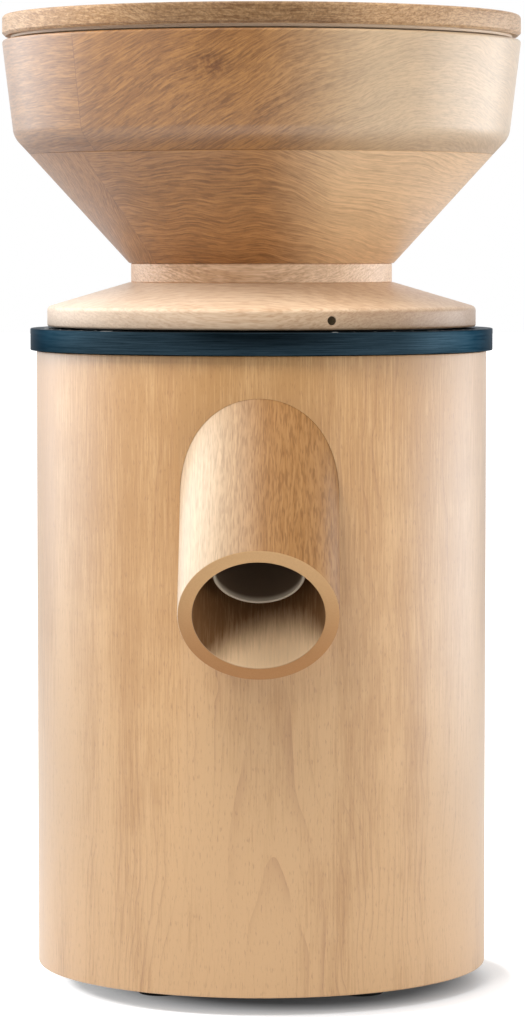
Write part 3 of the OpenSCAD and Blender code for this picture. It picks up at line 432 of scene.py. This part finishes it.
def block(x, y, z):
    """A box between two values along each axis, in millimetres."""
    shape = bmesh.new()
    bmesh.ops.create_cube(shape, size=mm)
    size = Matrix.Diagonal((x[1] - x[0], y[1] - y[0], z[1] - z[0], 1))
    return moved(shape, size, Matrix.Translation(Vector((sum(x), sum(y), sum(z))) / 2 * mm))


def about(middle, half):
    """A span that reaches as far to either side of a middle."""
    return middle - half, middle + half


ring_r, ring_bore, step_r = 92.5, 54.7, 87.3
ring_top, ring_lip, body_top = 261.7, 253, 251.8
skirt_r, spigot_r, skirt_foot = 74, 81.7, 245.8
groove_in, groove_out, groove_floor = 63.2, 74.8, 256.2
ring = solid("ring_turned", turned(
    [
        [ring_bore, body_top], [skirt_r, body_top], [skirt_r, skirt_foot], [spigot_r, skirt_foot],
        [spigot_r, body_top], [step_r, body_top], [step_r, ring_lip], [ring_r, ring_lip],
        [ring_r, ring_top], [groove_out, ring_top], [groove_out, groove_floor],
        [groove_in, groove_floor], [groove_in, ring_top], [ring_bore, ring_top],
    ],
    [
        (ring_r, ring_lip, 0.35, 2), (ring_r, ring_top, 0.45, 3), (groove_out, ring_top, 0.3, 1),
        (groove_in, ring_top, 0.3, 1),
    ],
    steps=192,
))
cut(ring, solid("keyways", block(about(0, 77.2), about(0, 2.8), (groove_floor + 0.1, 270))))
lacquer = finish(
    "brushed_lacquer", {"Metallic": 1.0, "Specular Tint": (0.40, 0.42, 0.45, 1)}, brushed_lacquer)
fit(ring, lacquer, "housing", "dark_ring", "top_ring")


def screen_print(place):
    wear = place.noise(1.2, 3)
    return {
        "Base Color": wear.between(0.3, 0.7).blend((0.62, 0.63, 0.62), (0.74, 0.75, 0.74)),
        "Roughness": 0.4 + 0.2 * wear,
    }


dial_start, dial_range = 18.7, 300
ink = 0.04
dashes = []
for dash in range(51):
    dash_out = -87.6 if dash % 5 == 0 else -86.9
    mark = block(about(0, 0.2), (dash_out, -86.1), (ring_top, ring_top + ink))
    turn = Matrix.Rotation(math.radians(dial_start + dial_range / 50 * dash), 4, "Z")
    dashes.append(moved(mark, turn))
white_ink = finish("white_ink", {}, screen_print)
fit(solid("scale_marks", *dashes), white_ink, "housing", "dark_ring")
for number in range(11):
    words = bpy.data.curves.new(f"number_{number}", "FONT")
    words.body = str(number)
    words.size = 4.4 * mm
    words.align_x = "CENTER"
    words.extrude = ink / 2 * mm
    letter = bpy.data.objects.new("letter", words)
    bpy.context.scene.collection.objects.link(letter)
    printed = bmesh.new()
    printed.from_mesh(settled(letter))
    bpy.data.objects.remove(letter)
    turn = Matrix.Rotation(math.radians(dial_start + dial_range / 10 * number), 4, "Z")
    moved(printed, Matrix.Translation((0, -91.4 * mm, (ring_top + ink / 2) * mm)), turn)
    fit(solid(f"number_mark_{number}", printed), white_ink, "housing", "dark_ring")

# ---- Body ----
# A tube of light hardwood: veneer with upright grain is laid round a bent core and butted at
# the back. The foot is eased, the rebated top covers the ring's step, and the wood is oiled.

wood_oil = {"IOR": 1.55, "Coat Weight": 1.0, "Coat IOR": 1.6, "Coat Roughness": 0.38}


def wood_colour(ground, lines, pores, pale, deep, line_colour):
    """Colour of oiled wood: ground goes between two tones round 0, with growth lines and pores."""
    lined = lines.blend((ground + 0.5).blend(pale, deep), line_colour)
    return (pores * 0.3).blend(lined, line_colour, "MULTIPLY")


def growth_lines(radius, spacing, sharpness):
    """Thin lines at uneven steps of the radius, which darken slowly and end sharply."""
    years = radius / spacing + (radius / (spacing * 4)).bands(2.0) * 3
    return years.alone("FRACT") ** sharpness


body_r, body_bore, body_foot = 90, 82, 7
panel = 89.1
switch_height, gland_height = 69, 29
spout_exit = (0, -90, 193.6)
spout_r, spout_bore = 30.3, 24.7


def body_veneer(place):
    """The body's wood, unrolled: u runs round it in millimetres from the front. The arched lines
    stand over the front. The flanks are darkened at mid height as painted shade, and the wood is
    painted darker towards the top and paler towards the bottom as painted light and shade."""
    x, y, z = place.axes()
    u = x.math("ARCTAN2", x, 0 - y) * body_r
    sheet = place.vector(u, 0.0, z)
    sway = sheet.scaled(0.014, 1, 0.006).noise(1.0, 2) - 0.5
    ripple = sheet.scaled(0.07, 1, 0.03).noise(1.0, 2) - 0.5
    across = u + sway * 36 + ripple * 7 - 4
    depth = z * 0.045 + 34
    radius = across.beside(depth)
    shown = sheet.scaled(0.05, 1, 0.012).noise(1.0, 2).between(0.40, 0.66)
    lines = growth_lines(radius, 2.9, 7) * (0.12 + 0.88 * shown)
    fibres = sheet.scaled(1.3, 1, 0.045).noise(1.0, 3, 0.7)
    pores = sheet.scaled(1.9, 1, 0.3).noise(1.0, 2).between(0.56, 0.72)
    broad = sheet.scaled(0.05, 1, 0.006).noise(1.0, 2)
    curl = sheet.scaled(0.03, 1, 0.05).noise(1.0, 3)
    figure = (broad - 0.5) * 2.6 + (fibres - 0.5) * (2.6 + z.between(120, 250) * 1.4)
    # The z term is painted light and shade: the wood darker towards the top, paler towards the bottom.
    ground = figure + (curl - 0.5) + z.between(40, 260) * 1.1 - 0.55
    colour = wood_colour(ground, lines * 0.55, pores,
                         (0.60, 0.355, 0.155), (0.45, 0.235, 0.08), (0.32, 0.135, 0.04))
    # Painted shade: the flanks are darkened at mid height.
    flank_shade_height = z.between(20, 90) * (1 - z.between(200, 250) * 0.7)
    painted_flank_shade = x.alone("ABSOLUTE").between(46, 84) * flank_shade_height
    return {
        "Base Color": painted_flank_shade.blend(colour, (0.84, 0.85, 0.87), "MULTIPLY"),
        "Roughness": 0.42 + 0.16 * fibres,
        "Normal": (fibres * 0.6 + pores * 0.4).bump(0.12, 0.05),
    }


def spout_place():
    """Turns a shape from the Z axis onto the spout's axis, which leaves the body at 45 degrees."""
    return Matrix.Translation(Vector(spout_exit) * mm) @ Matrix.Rotation(math.radians(135), 4, "X")


def rod(radius, low, high, steps=96):
    return turned([[0, low], [radius, low], [radius, high], [0, high]], steps=steps)


def behind(z):
    """Turns a shape from the Z axis onto one that points out of the body's back at a height."""
    return Matrix.Translation((0, 0, z * mm)) @ Matrix.Rotation(math.radians(-90), 4, "X")


plate_seat_r, plate_top, rebate_r, rebate_top = 85, 12, 87.5, 252.7
body = solid("body_tube", turned(
    [
        [plate_seat_r, body_foot], [body_r, body_foot], [body_r, rebate_top],
        [rebate_r, rebate_top], [rebate_r, body_top], [body_bore, body_top],
        [body_bore, plate_top], [plate_seat_r, plate_top],
    ],
    [(body_r, body_foot, 0.7, 3), (body_r, rebate_top, 0.3, 2)],
    steps=192,
))
cut(
    body,
    solid("spout_hole", moved(rod(spout_r + 0.12, -48, 60), spout_place())),
    solid("bezel_recess", block(about(0, 11.1), (panel, 99), about(switch_height, 15.1))),
    solid("switch_opening", block(about(0, 9.6), (41, 99), about(switch_height, 13.6))),
    solid("gland_recess", moved(rod(9.2, panel, 99), behind(gland_height))),
    solid("gland_bore", moved(rod(6.7, 41, 95), behind(gland_height))),
)
fit(body, finish("body_veneer", wood_oil, body_veneer), "housing", "body_wood", "body_shell")

# ---- Switch ----
# A rocker switch with a black moulded frame snaps into the back, low down. Its rocker has two
# sloped halves, marked with a bar for on and a ring for off.

bezel = block((-11, 11), (89.1, 91.1), (54, 84))
corners = [e for e in bezel.edges if abs(e.verts[0].co.y - e.verts[1].co.y) > mm]
ease(bezel, corners, 1.6, 4)
outer = [e for e in bezel.edges if all(v.co.y > 91 * mm for v in e.verts)]
ease(bezel, outer, 0.6, 3)
switch = solid("switch_frame", bezel, block((-9.5, 9.5), (69.1, 89.3), (55.5, 82.5)))
cut(switch, solid("well", block((-7.8, 7.8), (79.1, 99), (56.7, 81.3))))
fit(switch, black_plastic, "housing", "switch_plastic", "switch_housing")

rocker_shape = bmesh.new()
side = [(-4, -8.5), (2, -11.5), (7.2, -11.5), (5.2, 0), (7.2, 11.5), (2, 11.5), (-4, 8.5)]
rocker_side = rocker_shape.faces.new([rocker_shape.verts.new((-7.5 * mm, y * mm, z * mm)) for y, z in side])
swept = bmesh.ops.extrude_face_region(rocker_shape, geom=[rocker_side])["geom"]
far_side = [v for v in swept if isinstance(v, bmesh.types.BMVert)]
bmesh.ops.translate(rocker_shape, vec=(15 * mm, 0, 0), verts=far_side)
bmesh.ops.recalc_face_normals(rocker_shape, faces=rocker_shape.faces)
bmesh.ops.bevel(rocker_shape, geom=rocker_shape.edges[:], offset=0.5 * mm, segments=3, profile=0.5,
                affect="EDGES", material=-1)
tilt = Matrix.Translation((0, 86.1 * mm, 69 * mm)) @ Matrix.Rotation(math.radians(-7), 4, "X")
pins = moved(rod(1.5, -8.6, 8.6, steps=24), Matrix.Rotation(math.radians(90), 4, "Y"))
gloss_black = finish(
    "rocker_plastic", {},
    moulded_plastic((0.008, 0.008, 0.009), (0.015, 0.015, 0.016), 1.4, 0.24))
fit(solid("rocker_cap", moved(rocker_shape, tilt), moved(pins, tilt)), gloss_black,
    "rocker", "rocker_plastic", "rocker")

face_tilt = math.atan2(2.0, 11.5)
off_ring = moved(turned([[1.5, 0], [2.1, 0], [2.1, 0.05], [1.5, 0.05]], steps=40),
                 Matrix.Rotation(math.radians(-90), 4, "X"))
moved(off_ring, Matrix.Rotation(-face_tilt, 4, "X"), Matrix.Translation((0, 6.22 * mm, 6 * mm)))
on_bar = moved(block((-0.35, 0.35), (0, 0.05), (-2, 2)), Matrix.Rotation(face_tilt, 4, "X"),
               Matrix.Translation((0, 6.22 * mm, -6 * mm)))
fit(solid("switch_marks", moved(off_ring, tilt), moved(on_bar, tilt)), white_ink, "rocker", "rocker_plastic")

# ---- Cord gland ----
# A black moulded bush carries the cord through the back, under the switch. Its flange sits in
# a shallow recess, and a nut inside the body holds it.

gland = moved(
    turned(
        [[3.6, 67], [6.6, 67], [6.6, 89.1], [9.1, 89.1], [8.7, 91], [8.1, 93.1], [3.6, 93.1]],
        [(8.1, 93.1, 0.9, 3), (3.6, 93.1, 0.9, 4), (8.7, 91, 0.4, 2)], steps=64,
    ),
    behind(29),
)
fit(solid("gland_bush", gland), black_plastic, "housing", "switch_plastic", "cord_gland")
coat(black_plastic, "gland_nut")

# ---- Spout ----
# A straight wooden tube, let through the body at 45 degrees and glued. Its mouth is sawn off
# at a slant, and the edge is lightly chamfered.


def log_wood(ground_pale, ground_deep, line_colour, pith, grain, spacing, line_strength, sway=9.0,
             fan=9, halves=None, painted_light_side=None, figure=3.6):
    """Paint of solid oiled wood. The growth rings run round the pith, a point in millimetres;
    grain turns the Y axis onto the way the fibres run, and fan is larger where the pith lies far
    off. Halves names a second log, glued on beyond a plane: its pith and grain, the plane's
    normal and its distance from the axis. The paler side is painted light, where more light
    falls: between which X it sets in, how much, and its colour. Figure is the strength of the
    fine streaks."""
    def paint(place):
        pale, deep = ground_pale, ground_deep

        def in_log(middle, turn):
            settings = {"vector_type": "TEXTURE"}
            turn = [math.radians(a) for a in turn]
            values = {"Vector": place, "Location": middle, "Rotation": turn}
            return place.node("Mapping", settings, values)

        log = in_log(pith, grain)
        glue = 0.0
        if halves:
            middle, turn, normal, reach = halves
            beyond = place.node(
                "VectorMath", {"operation": "DOT_PRODUCT"}, {0: place, 1: normal}, 1) - reach
            past = beyond.math("GREATER_THAN", beyond, 0.0)
            log = past.node(
                "Mix", {"data_type": "VECTOR"}, {0: past, 4: log, 5: in_log(middle, turn)}, 1)
            glue = 1 - beyond.alone("ABSOLUTE").between(0.1, 0.3)
        a, along, b = log.axes()
        wander = log.scaled(1, 0.35, 1).noise(0.018, 2) - 0.5
        ripple = log.scaled(1, 0.5, 1).noise(0.10, 2) - 0.5
        radius = a.beside(b) + wander * (2 * sway) + ripple * 1.3
        shown = log.noise(0.05, 2).between(0.30, 0.65)
        lines = growth_lines(radius, spacing, 3) * (0.3 + 0.7 * shown)
        turn = a.math("ARCTAN2", a, b)
        streaks = place.vector(radius, along * 0.05, turn * fan).noise(1.45, 2, 0.6)
        flecks = place.vector(radius, along * 0.09, turn * (2 * fan)).noise(2.0, 1).between(0.46, 0.64)
        fibres = log.scaled(1, 0.05, 1).noise(1.1, 3, 0.7)
        broad = (radius / (spacing * 4)).bands(2.0, 0.5)
        cloud = log.scaled(1, 0.4, 1).noise(0.03, 4)
        ground = (broad - 0.5) * 1.2 + (cloud - 0.5) * 1.6 + (streaks - 0.5) * figure + (fibres - 0.5)
        lines = lines * line_strength
        # Painted light: one side paler, with fainter lines and flecks, where more light falls.
        if painted_light_side:
            side = place.axes()[0].between(*painted_light_side[0]) * painted_light_side[1]
            pale, deep = side.blend(pale, painted_light_side[2]), side.blend(deep, [0.86 * c for c in painted_light_side[2]])
            lines, flecks = lines * (1 - side * 0.5), flecks * (1 - side * 0.6)
        colour = wood_colour(ground, lines, flecks, pale, deep, line_colour)
        if halves:
            colour = (glue * 0.55).blend(colour, line_colour)
        return {
            "Base Color": colour,
            "Roughness": 0.38 + 0.18 * streaks,
            "Normal": (streaks - flecks * 0.4).bump(0.12, 0.06),
        }
    return paint


def tube_shape(outer, inner, low, high, steps=128):
    return turned([[inner, low], [outer, low], [outer, high], [inner, high]], steps=steps)


spout_shape = moved(tube_shape(30.3, 24.7, -46, 100), spout_place())
mouth_y, mouth_height = -126.49, 157.11
mouth = Vector((0, mouth_y, mouth_height)) * mm
mouth_way = Matrix.Rotation(math.radians(90 + 33.7), 3, "X") @ Vector((0, 0, 1))
bmesh.ops.bisect_plane(
    spout_shape, geom=spout_shape.verts[:] + spout_shape.edges[:] + spout_shape.faces[:],
    plane_co=mouth, plane_no=mouth_way, clear_outer=True,
)
rims = [e for e in spout_shape.edges if e.is_boundary]
bmesh.ops.bridge_loops(spout_shape, edges=rims)
bmesh.ops.recalc_face_normals(spout_shape, faces=spout_shape.faces)
rims = [
    e for e in spout_shape.edges
    if all(abs((v.co - mouth).dot(mouth_way)) < 1e-6 for v in e.verts)
    and sum(abs(f.normal.dot(mouth_way)) > 0.99 for f in e.link_faces) == 1
]
ease(spout_shape, rims, 0.7, 2)
spout = solid("spout_glued", spout_shape)
cut(spout, solid("body_inside", rod(82, 90, 300, steps=192)))


def bored_log(place):
    """The spout's wood. Inside, the bore is painted dark up its walls as shade, and pale on its floor near the
    mouth as a pool of light.
    """
    # The paler left side of the spout is painted light.
    made = log_wood(
        (0.38, 0.195, 0.072), (0.30, 0.143, 0.048), (0.19, 0.078, 0.022),
        (60, -90, 250), (45, 0, 0), 1.9, 0.25, 3.0, painted_light_side=((6, -27), 0.9, (0.76, 0.58, 0.39)))(place)
    settings = {"vector_type": "TEXTURE"}
    values = {"Vector": place, "Location": spout_exit, "Rotation": (math.radians(-45), 0, 0)}
    tube = place.node("Mapping", settings, values)
    x, y, z = tube.axes()
    bore = 1 - x.beside(y).between(24.75, 24.95)
    fibres = tube.scaled(1, 1, 0.05).noise(1.5, 3, 0.7)
    # Painted light and shade in the bore: a pool of light on its floor near the mouth, shade up the walls and
    # towards the liner.
    painted_light_pool = (y * 2.2 + x * 0.55 - z * 1.2).between(84, 114) + (fibres - 0.5) * 0.6
    inside = painted_light_pool.blend((0.18, 0.085, 0.032), (0.98, 0.68, 0.40))
    height = place.axes()[2]
    sawn = ((place.axes()[1] - mouth_y) * -0.832 + (height - mouth_height) * -0.555).between(-0.35, -0.15)
    # The sawn mouth face is painted darker towards its bottom, as painted shade.
    end_grain = height.between(135, 180).blend((0.45, 0.225, 0.09), (0.64, 0.395, 0.19))
    end_grain = (fibres * 0.4).blend(end_grain, (0.6, 0.5, 0.4), "MULTIPLY")
    outside = sawn.blend(made["Base Color"], end_grain)
    made["Base Color"] = bore.blend(outside, inside)
    made["Coat Weight"] = (1 - bore) * (1 - sawn) * (0.8 - 0.75 * x.between(-6, 16))
    return made


oiled_spout = {
    "IOR": 1.5, "Coat IOR": 1.6, "Coat Roughness": 0.36, "Specular IOR Level": 0.15,
}
spout_wood = finish("spout_wood", oiled_spout, bored_log)
fit(spout, spout_wood, "housing", "spout_wood", "spout")

# ---- Outlet tube ----
# An off-white moulded tube carries the flour from the mill chamber through the spout. Its rim
# is rounded, and a film of flour dulls it.

liner = turned(
    [[16.5, -37.1], [17.6, -37.1], [17.6, 30.6], [16.5, 30.6]],
    [(17.6, 30.6, 0.45, 3), (16.5, 30.6, 0.45, 3)], steps=96,
)


def floury_tube(place):
    """Off-white outside and round the rim; the bore is painted dark as shade, fading in from the rim."""
    made = moulded_plastic((0.50, 0.43, 0.33), (0.62, 0.54, 0.42), 1.2, 0.42)(place)
    x, y, z = place.axes()
    along = (y + 90) * -0.7071 + (z - 193.6) * -0.7071
    up = (y + 90) * -0.7071 + (z - 193.6) * 0.7071
    bore = 1 - x.beside(up).between(16.5, 16.8)
    # Painted shade: the bore darkened inwards from the rim.
    painted_bore_shade = bore * (1 - along.between(27.5, 30.3))
    made["Base Color"] = painted_bore_shade.blend(made["Base Color"], (0.12, 0.08, 0.05))
    return made


off_white = finish("outlet_plastic", {"IOR": 1.46}, floury_tube)
fit(solid("outlet_liner", moved(liner, spout_place())), off_white,
    "housing", "outlet_plastic", "outlet_tube")

# ---- Upper stone, its holder and the thrust ring ----
# The upper stone hangs in a cast holder under the hopper, whose wall screws into the mill
# chamber. A black thrust ring over a wave spring takes the play out of the thread.

coat(castings, "stone_holder")
coat(grit, "upper_stone")
coat(zinc, "holder_screws", "wave_spring")
coat(black_plastic, "thrust_ring")

# ---- Hopper base ----
# A turned disc with an upright edge, the grip by which the hopper is turned. A darkened bronze
# pin in the edge points at the scale, and a steel guard closes the throat.

base = solid("base_turned", turned(
    [
        [22, 262.4], [85.7, 262.4], [85.7, 270.3], [52.8, 280], [29.69, 280], [26.1, 276.07],
        [26.1, 271], [22, 271],
    ],
    [(85.7, 262.4, 0.8, 3), (85.7, 270.3, 1.5, 5), (22, 262.4, 0.5, 2)], steps=192,
))
dot_turn = Matrix.Rotation(math.radians(dial_start), 4, "Z")
dot_way = Matrix.Translation((0, -83.7 * mm, 266.05 * mm)) @ Matrix.Rotation(math.radians(90), 4, "X")
cut(base, solid("dot_hole", moved(rod(1.72, 0, 4, steps=32), dot_way, dot_turn)))


def edged_log(place):
    """The base's wood. Its edge is painted darker than the slope above it, and more so towards the right, as
    painted shade; its paler left side is painted light.
    """
    made = log_wood(
        (0.90, 0.68, 0.47), (0.77, 0.54, 0.35), (0.56, 0.34, 0.18),
        (30, 0, 120), (0, 0, 82), 2.4, 0.22, fan=50, painted_light_side=((10, -70), 0.7, (0.86, 0.70, 0.55)))(place)
    x, y, z = place.axes()
    # Painted shade: the edge below the slope is darkened, more towards the right.
    edge = (1 - z.between(268.8, 271.0)) * (0.35 + 0.65 * x.between(-20, 75))
    made["Base Color"] = edge.blend(made["Base Color"], (0.42, 0.345, 0.265), "MULTIPLY")
    return made


base_wood = finish("base_wood", {"IOR": 1.5, "Coat Weight": 0.55, "Coat Roughness": 0.38}, edged_log)
fit(base, base_wood, "hopper", "base_wood", "hopper_base")


def dark_bronze(place):
    patina = place.noise(1.4, 3)
    return {
        "Base Color": patina.blend((0.030, 0.020, 0.010), (0.085, 0.058, 0.030)),
        "Roughness": 0.3 + 0.2 * patina,
        "Normal": patina.bump(0.2, 0.05),
    }


pin = turned([[0, 0], [1.65, 0], [1.65, 2], [0, 2]], [(1.65, 2, 0.25, 3)], steps=40)
pin = moved(pin, dot_way, dot_turn)
fit(solid("dot_pin", pin), finish("dark_bronze", {"Metallic": 0.9}, dark_bronze), "hopper", "dot_bronze",
    "setting_dot")
coat(stainless, "finger_guard")

# ---- Hopper neck ----
# A short pale ring between the base and the cone, glued to both, a hair narrower than the
# cone over it.

# The paler right side of the neck is painted light.
neck_wood = finish("neck_wood", {"IOR": 1.5, "Coat Weight": 0.5, "Coat Roughness": 0.38}, log_wood(
    (0.82, 0.55, 0.34), (0.64, 0.38, 0.20), (0.34, 0.16, 0.06),
    (0, 0, 200), (0, 0, 80), 1.8, 0.25, fan=25, painted_light_side=((-12, 26), 0.4, (0.84, 0.66, 0.46))))
neck = turned([[29.69, 280], [52.2, 280], [52.2, 287.6], [36.64, 287.6]],
              [(52.2, 280, 0.3, 1), (52.2, 287.6, 0.3, 1)])
fit(solid("neck_ring", neck), neck_wood, "hopper", "neck_wood", "hopper_neck")

# ---- Hopper cone ----
# The lower block of the hopper, turned from two pieces of wood glued side by side, with the
# grain lying. Its upper edge meets the rim block in a fine glue line.

# The paler right side of the cone is painted light.
cone_wood = finish("cone_wood", {"IOR": 1.5, "Coat Weight": 0.5, "Coat Roughness": 0.38}, log_wood(
    (0.39, 0.18, 0.055), (0.27, 0.115, 0.03), (0.15, 0.055, 0.014),
    (-34, -60, 120), (0, 0, -16), 2.0, 0.5, 12.0,
    halves=((-60, 60, 330), (0, 0, -40), (-0.710, 0.704, 0), 5.4), painted_light_side=((-2, 34), 0.9, (0.76, 0.50, 0.27)),
    figure=4.6))
cone = turned([[36.64, 287.6], [52.9, 287.6], [92.3, 330.7], [76.04, 330.7]],
              [(92.3, 330.7, 0.22, 1), (52.9, 287.6, 0.3, 2)], steps=192)
fit(solid("cone_block", cone), cone_wood, "hopper", "cone_wood", "hopper_cone")

# ---- Hopper rim ----
# The upper block, turned from two glued pieces as well: a slightly flared wall over a rounded
# shoulder, hollowed out to carry on the cone's bowl.

def shouldered_log(place):
    """The rim's wood, with a small knot in the front, and its paler right side painted light. The
    shoulder is painted darker as shade, and its thinner coat leaves it duller."""
    made = log_wood(
        (0.40, 0.185, 0.05), (0.26, 0.11, 0.028), (0.14, 0.05, 0.012),
        (70, -75.5, 250), (0, 0, 30), 1.9, 0.3, 8.0,
        halves=((-60, 0, 150), (0, 0, 10), (-0.633, 0.774, 0), -12.2),
        painted_light_side=((-6, 50), 0.9, (0.61, 0.43, 0.25)))(place)
    x, y, z = place.axes()
    off = (x + 18.5) ** 2 + (y + 101) ** 2 + ((z - 362) * 1.5) ** 2
    knot = (1 - off.alone("SQRT").between(0.5, 12)) * place.noise(0.5, 3).between(0.3, 0.6)
    made["Base Color"] = knot.blend(made["Base Color"], (0.50, 0.40, 0.30), "MULTIPLY")
    # Painted shade: the shoulder under the upright wall is darkened.
    upright = z.between(333, 339)
    made["Base Color"] = ((1 - upright) * 0.6).blend(made["Base Color"], (0.72, 0.66, 0.58), "MULTIPLY")
    made["Coat Weight"] = 0.3 + 0.7 * upright
    return made


rim_wood = finish("rim_wood", {"IOR": 1.55, "Coat IOR": 1.6, "Coat Roughness": 0.38}, shouldered_log)
rim = turned(
    [[92.3, 330.7], [98.8, 337.7], [103.4, 375.9], [91.5, 375.9], [91.5, 347.6], [76.04, 330.7]],
    [
        (92.3, 330.7, 0.22, 1), (98.8, 337.7, 2.6, 6), (103.4, 375.9, 1.2, 4), (91.5, 375.9, 0.6, 2),
        (91.5, 347.6, 3.9, 6),
    ], steps=192,
)
fit(solid("rim_block", rim), rim_wood, "hopper", "rim_wood", "hopper_rim")

# ---- Lid ----
# A turned disc with a shadow groove under its edge, and a spigot that centres it in the bowl.
# It lifts straight off.


def grooved_log(place):
    """The lid's wood: end grain at the front and back is darker, and the shadow groove and the
    underside are painted paler, as painted light against the groove's shade."""
    made = log_wood(
        (0.56, 0.35, 0.18), (0.38, 0.21, 0.09), (0.20, 0.095, 0.036),
        (20, 0, 640), (0, 0, 4), 2.0, 0.3, fan=80, figure=5.2)(place)
    x, y, z = place.axes()
    edge = x.beside(y).between(101.6, 102.6)
    end_grain = edge * (y + x * 0.08).alone("ABSOLUTE").between(86, 102.5)
    made["Base Color"] = end_grain.blend(made["Base Color"], (0.56, 0.53, 0.48), "MULTIPLY")
    layers = place.scaled(0.06, 0.06, 1.5).noise(1.0, 3, 0.7).between(0.46, 0.66)
    made["Base Color"] = (layers * end_grain).blend(made["Base Color"], (0.60, 0.52, 0.44), "MULTIPLY")
    # Painted light: the groove wall and the underside are made paler.
    painted_light_underside = 1 - z.between(377.55, 377.75)
    made["Base Color"] = painted_light_underside.blend(made["Base Color"], (0.74, 0.58, 0.42))
    return made


lid_wood = finish("lid_wood", {"IOR": 1.5, "Coat Weight": 0.4, "Coat Roughness": 0.42}, grooved_log)
lid = turned(
    [
        [0, 369.9], [91, 369.9], [91, 375.9], [96.85, 375.9], [96.85, 376.5], [99.85, 376.5],
        [99.85, 377.6], [102.15, 377.6], [103.25, 378.7], [103.25, 385.8], [0, 385.8],
    ],
    [(91, 369.9, 1.0, 3), (99.85, 376.5, 0.2, 1), (103.25, 385.8, 1.5, 5)], steps=192,
)
fit(solid("lid_turned", lid), lid_wood, "lid", "lid_wood", "lid")

# ---- Studio ----
# A pale floor, a white surround, two soft boxes at the sides, lamps that gloss doesn't show, a
# dark card that only gloss shows, and a camera a little above the ring's height.


def pale_floor():
    made = bpy.data.materials.new("pale_floor")
    made.use_nodes = True
    tree = made.node_tree
    shader = tree.nodes["Principled BSDF"]
    shader.inputs["Base Color"].default_value = (0.70, 0.70, 0.71, 1)
    shader.inputs["Roughness"].default_value = 0.6
    place = Signal(tree, tree.nodes.new("ShaderNodeTexCoord").outputs["Object"])
    x, y, z = place.axes()
    reach = (x - 0.013) ** 2 + (y + 0.004) ** 2
    far = reach.math("SQRT", reach)
    seen = place.node("LightPath", {}, {})
    kinds = seen.socket.node.outputs
    mirrored = [Signal(tree, kinds[kind]) for kind in ("Is Glossy Ray", "Is Transmission Ray")]
    seen = seen.math("MAXIMUM", seen, mirrored[0].math("MAXIMUM", *mirrored) * 0.25)
    # The camera sees the floor glow white except under the mill, where the glow falls away in a crisp,
    # slightly offset circle: a painted shadow edge, inside which the real shadow shows.
    strength = seen * (0.02 + 0.38 * far.between(0.056, 0.088) + 0.6 * far.between(0.086, 0.094))
    glow = seen.node("Emission", {}, {"Color": (1, 1, 1, 1), "Strength": strength})
    both = seen.node("AddShader", {}, {0: Signal(tree, shader.outputs[0]), 1: glow})
    tree.links.new(both.socket, tree.nodes["Material Output"].inputs["Surface"])
    return made


floor_shape = bmesh.new()
bmesh.ops.create_circle(floor_shape, cap_ends=True, radius=12, segments=64)
floor = solid("floor", floor_shape)
floor.data.materials.append(pale_floor())

world = bpy.data.worlds.new("white_surround")
world.use_nodes = True
sky = Signal(world.node_tree, world.node_tree.nodes.new("ShaderNodeLightPath").outputs["Is Camera Ray"])
paths = sky.socket.node
glossy = Signal(world.node_tree, paths.outputs["Is Glossy Ray"])
through = Signal(world.node_tree, paths.outputs["Is Transmission Ray"])
shown = sky.math("MAXIMUM", sky.math("MAXIMUM", sky, glossy), through)
background = world.node_tree.nodes["Background"]
background.inputs["Color"].default_value = (1, 1, 1, 1)
world.node_tree.links.new((0.44 + 0.56 * shown).socket, background.inputs["Strength"])
bpy.context.scene.world = world


def soft_box(name, spot, aim, width, height, watts):
    lamp = bpy.data.lights.new(name, "AREA")
    lamp.shape = "RECTANGLE"
    lamp.size, lamp.size_y, lamp.energy = width, height, watts
    made = bpy.data.objects.new(name, lamp)
    bpy.context.scene.collection.objects.link(made)
    made.location = spot
    made.rotation_euler = (Vector(aim) - Vector(spot)).to_track_quat("-Z", "Y").to_euler()
    return made


soft_box("left_box", (-1.2, 0.5, 0.72), (0, 0, 0.3), 1.3, 1.3, 10.3)
soft_box("right_box", (1.2, 0.35, 0.25), (0, 0, 0.2), 1.2, 0.5, 5.6)
top_box = soft_box("top_box", (-0.35, -0.55, 1.4), (0, 0, 0.2), 0.6, 0.6, 17)
key_box = soft_box("key_box", (-0.6, -1.4, 0.85), (0, 0, 0.2), 0.4, 0.4, 3)
low_box = soft_box("low_box", (1.0, -0.7, 0.08), (0, 0, 0.25), 0.7, 0.4, 4.5)
for box in (top_box, key_box, low_box):
    box.visible_glossy = False

# A dark card between the camera and the object shows only in gloss, as in a studio.
card_shape = bmesh.new()
bmesh.ops.create_grid(card_shape, x_segments=1, y_segments=1, size=0.5)
moved(card_shape, Matrix.Diagonal((1.6, 1.3, 1, 1)), Matrix.Rotation(math.radians(90), 4, "X"),
      Matrix.Translation((0, -1.2, 0.66)))
card = solid("dark_card", card_shape)
card_black = bpy.data.materials.new("card_black")
card_black.use_nodes = True
card_black.node_tree.nodes["Principled BSDF"].inputs["Base Color"].default_value = (0.01, 0.01, 0.01, 1)
card_black.node_tree.nodes["Principled BSDF"].inputs["Roughness"].default_value = 1.0
card.data.materials.append(card_black)
card.visible_camera = False
card.visible_diffuse = False
card.visible_shadow = False
card.visible_transmission = False

camera = bpy.data.cameras.new("camera")
camera.lens = 143.47
camera_stand = bpy.data.objects.new("camera", camera)
bpy.context.scene.collection.objects.link(camera_stand)
camera_stand.location = (0.014, -1.630, 0.2948)
view_way = Vector((0.0004, 0, 0.18854)) - camera_stand.location
camera_stand.rotation_euler = view_way.to_track_quat("-Z", "Y").to_euler()
bpy.context.scene.camera = camera_stand
bpy.context.scene.view_settings.view_transform = "Standard"
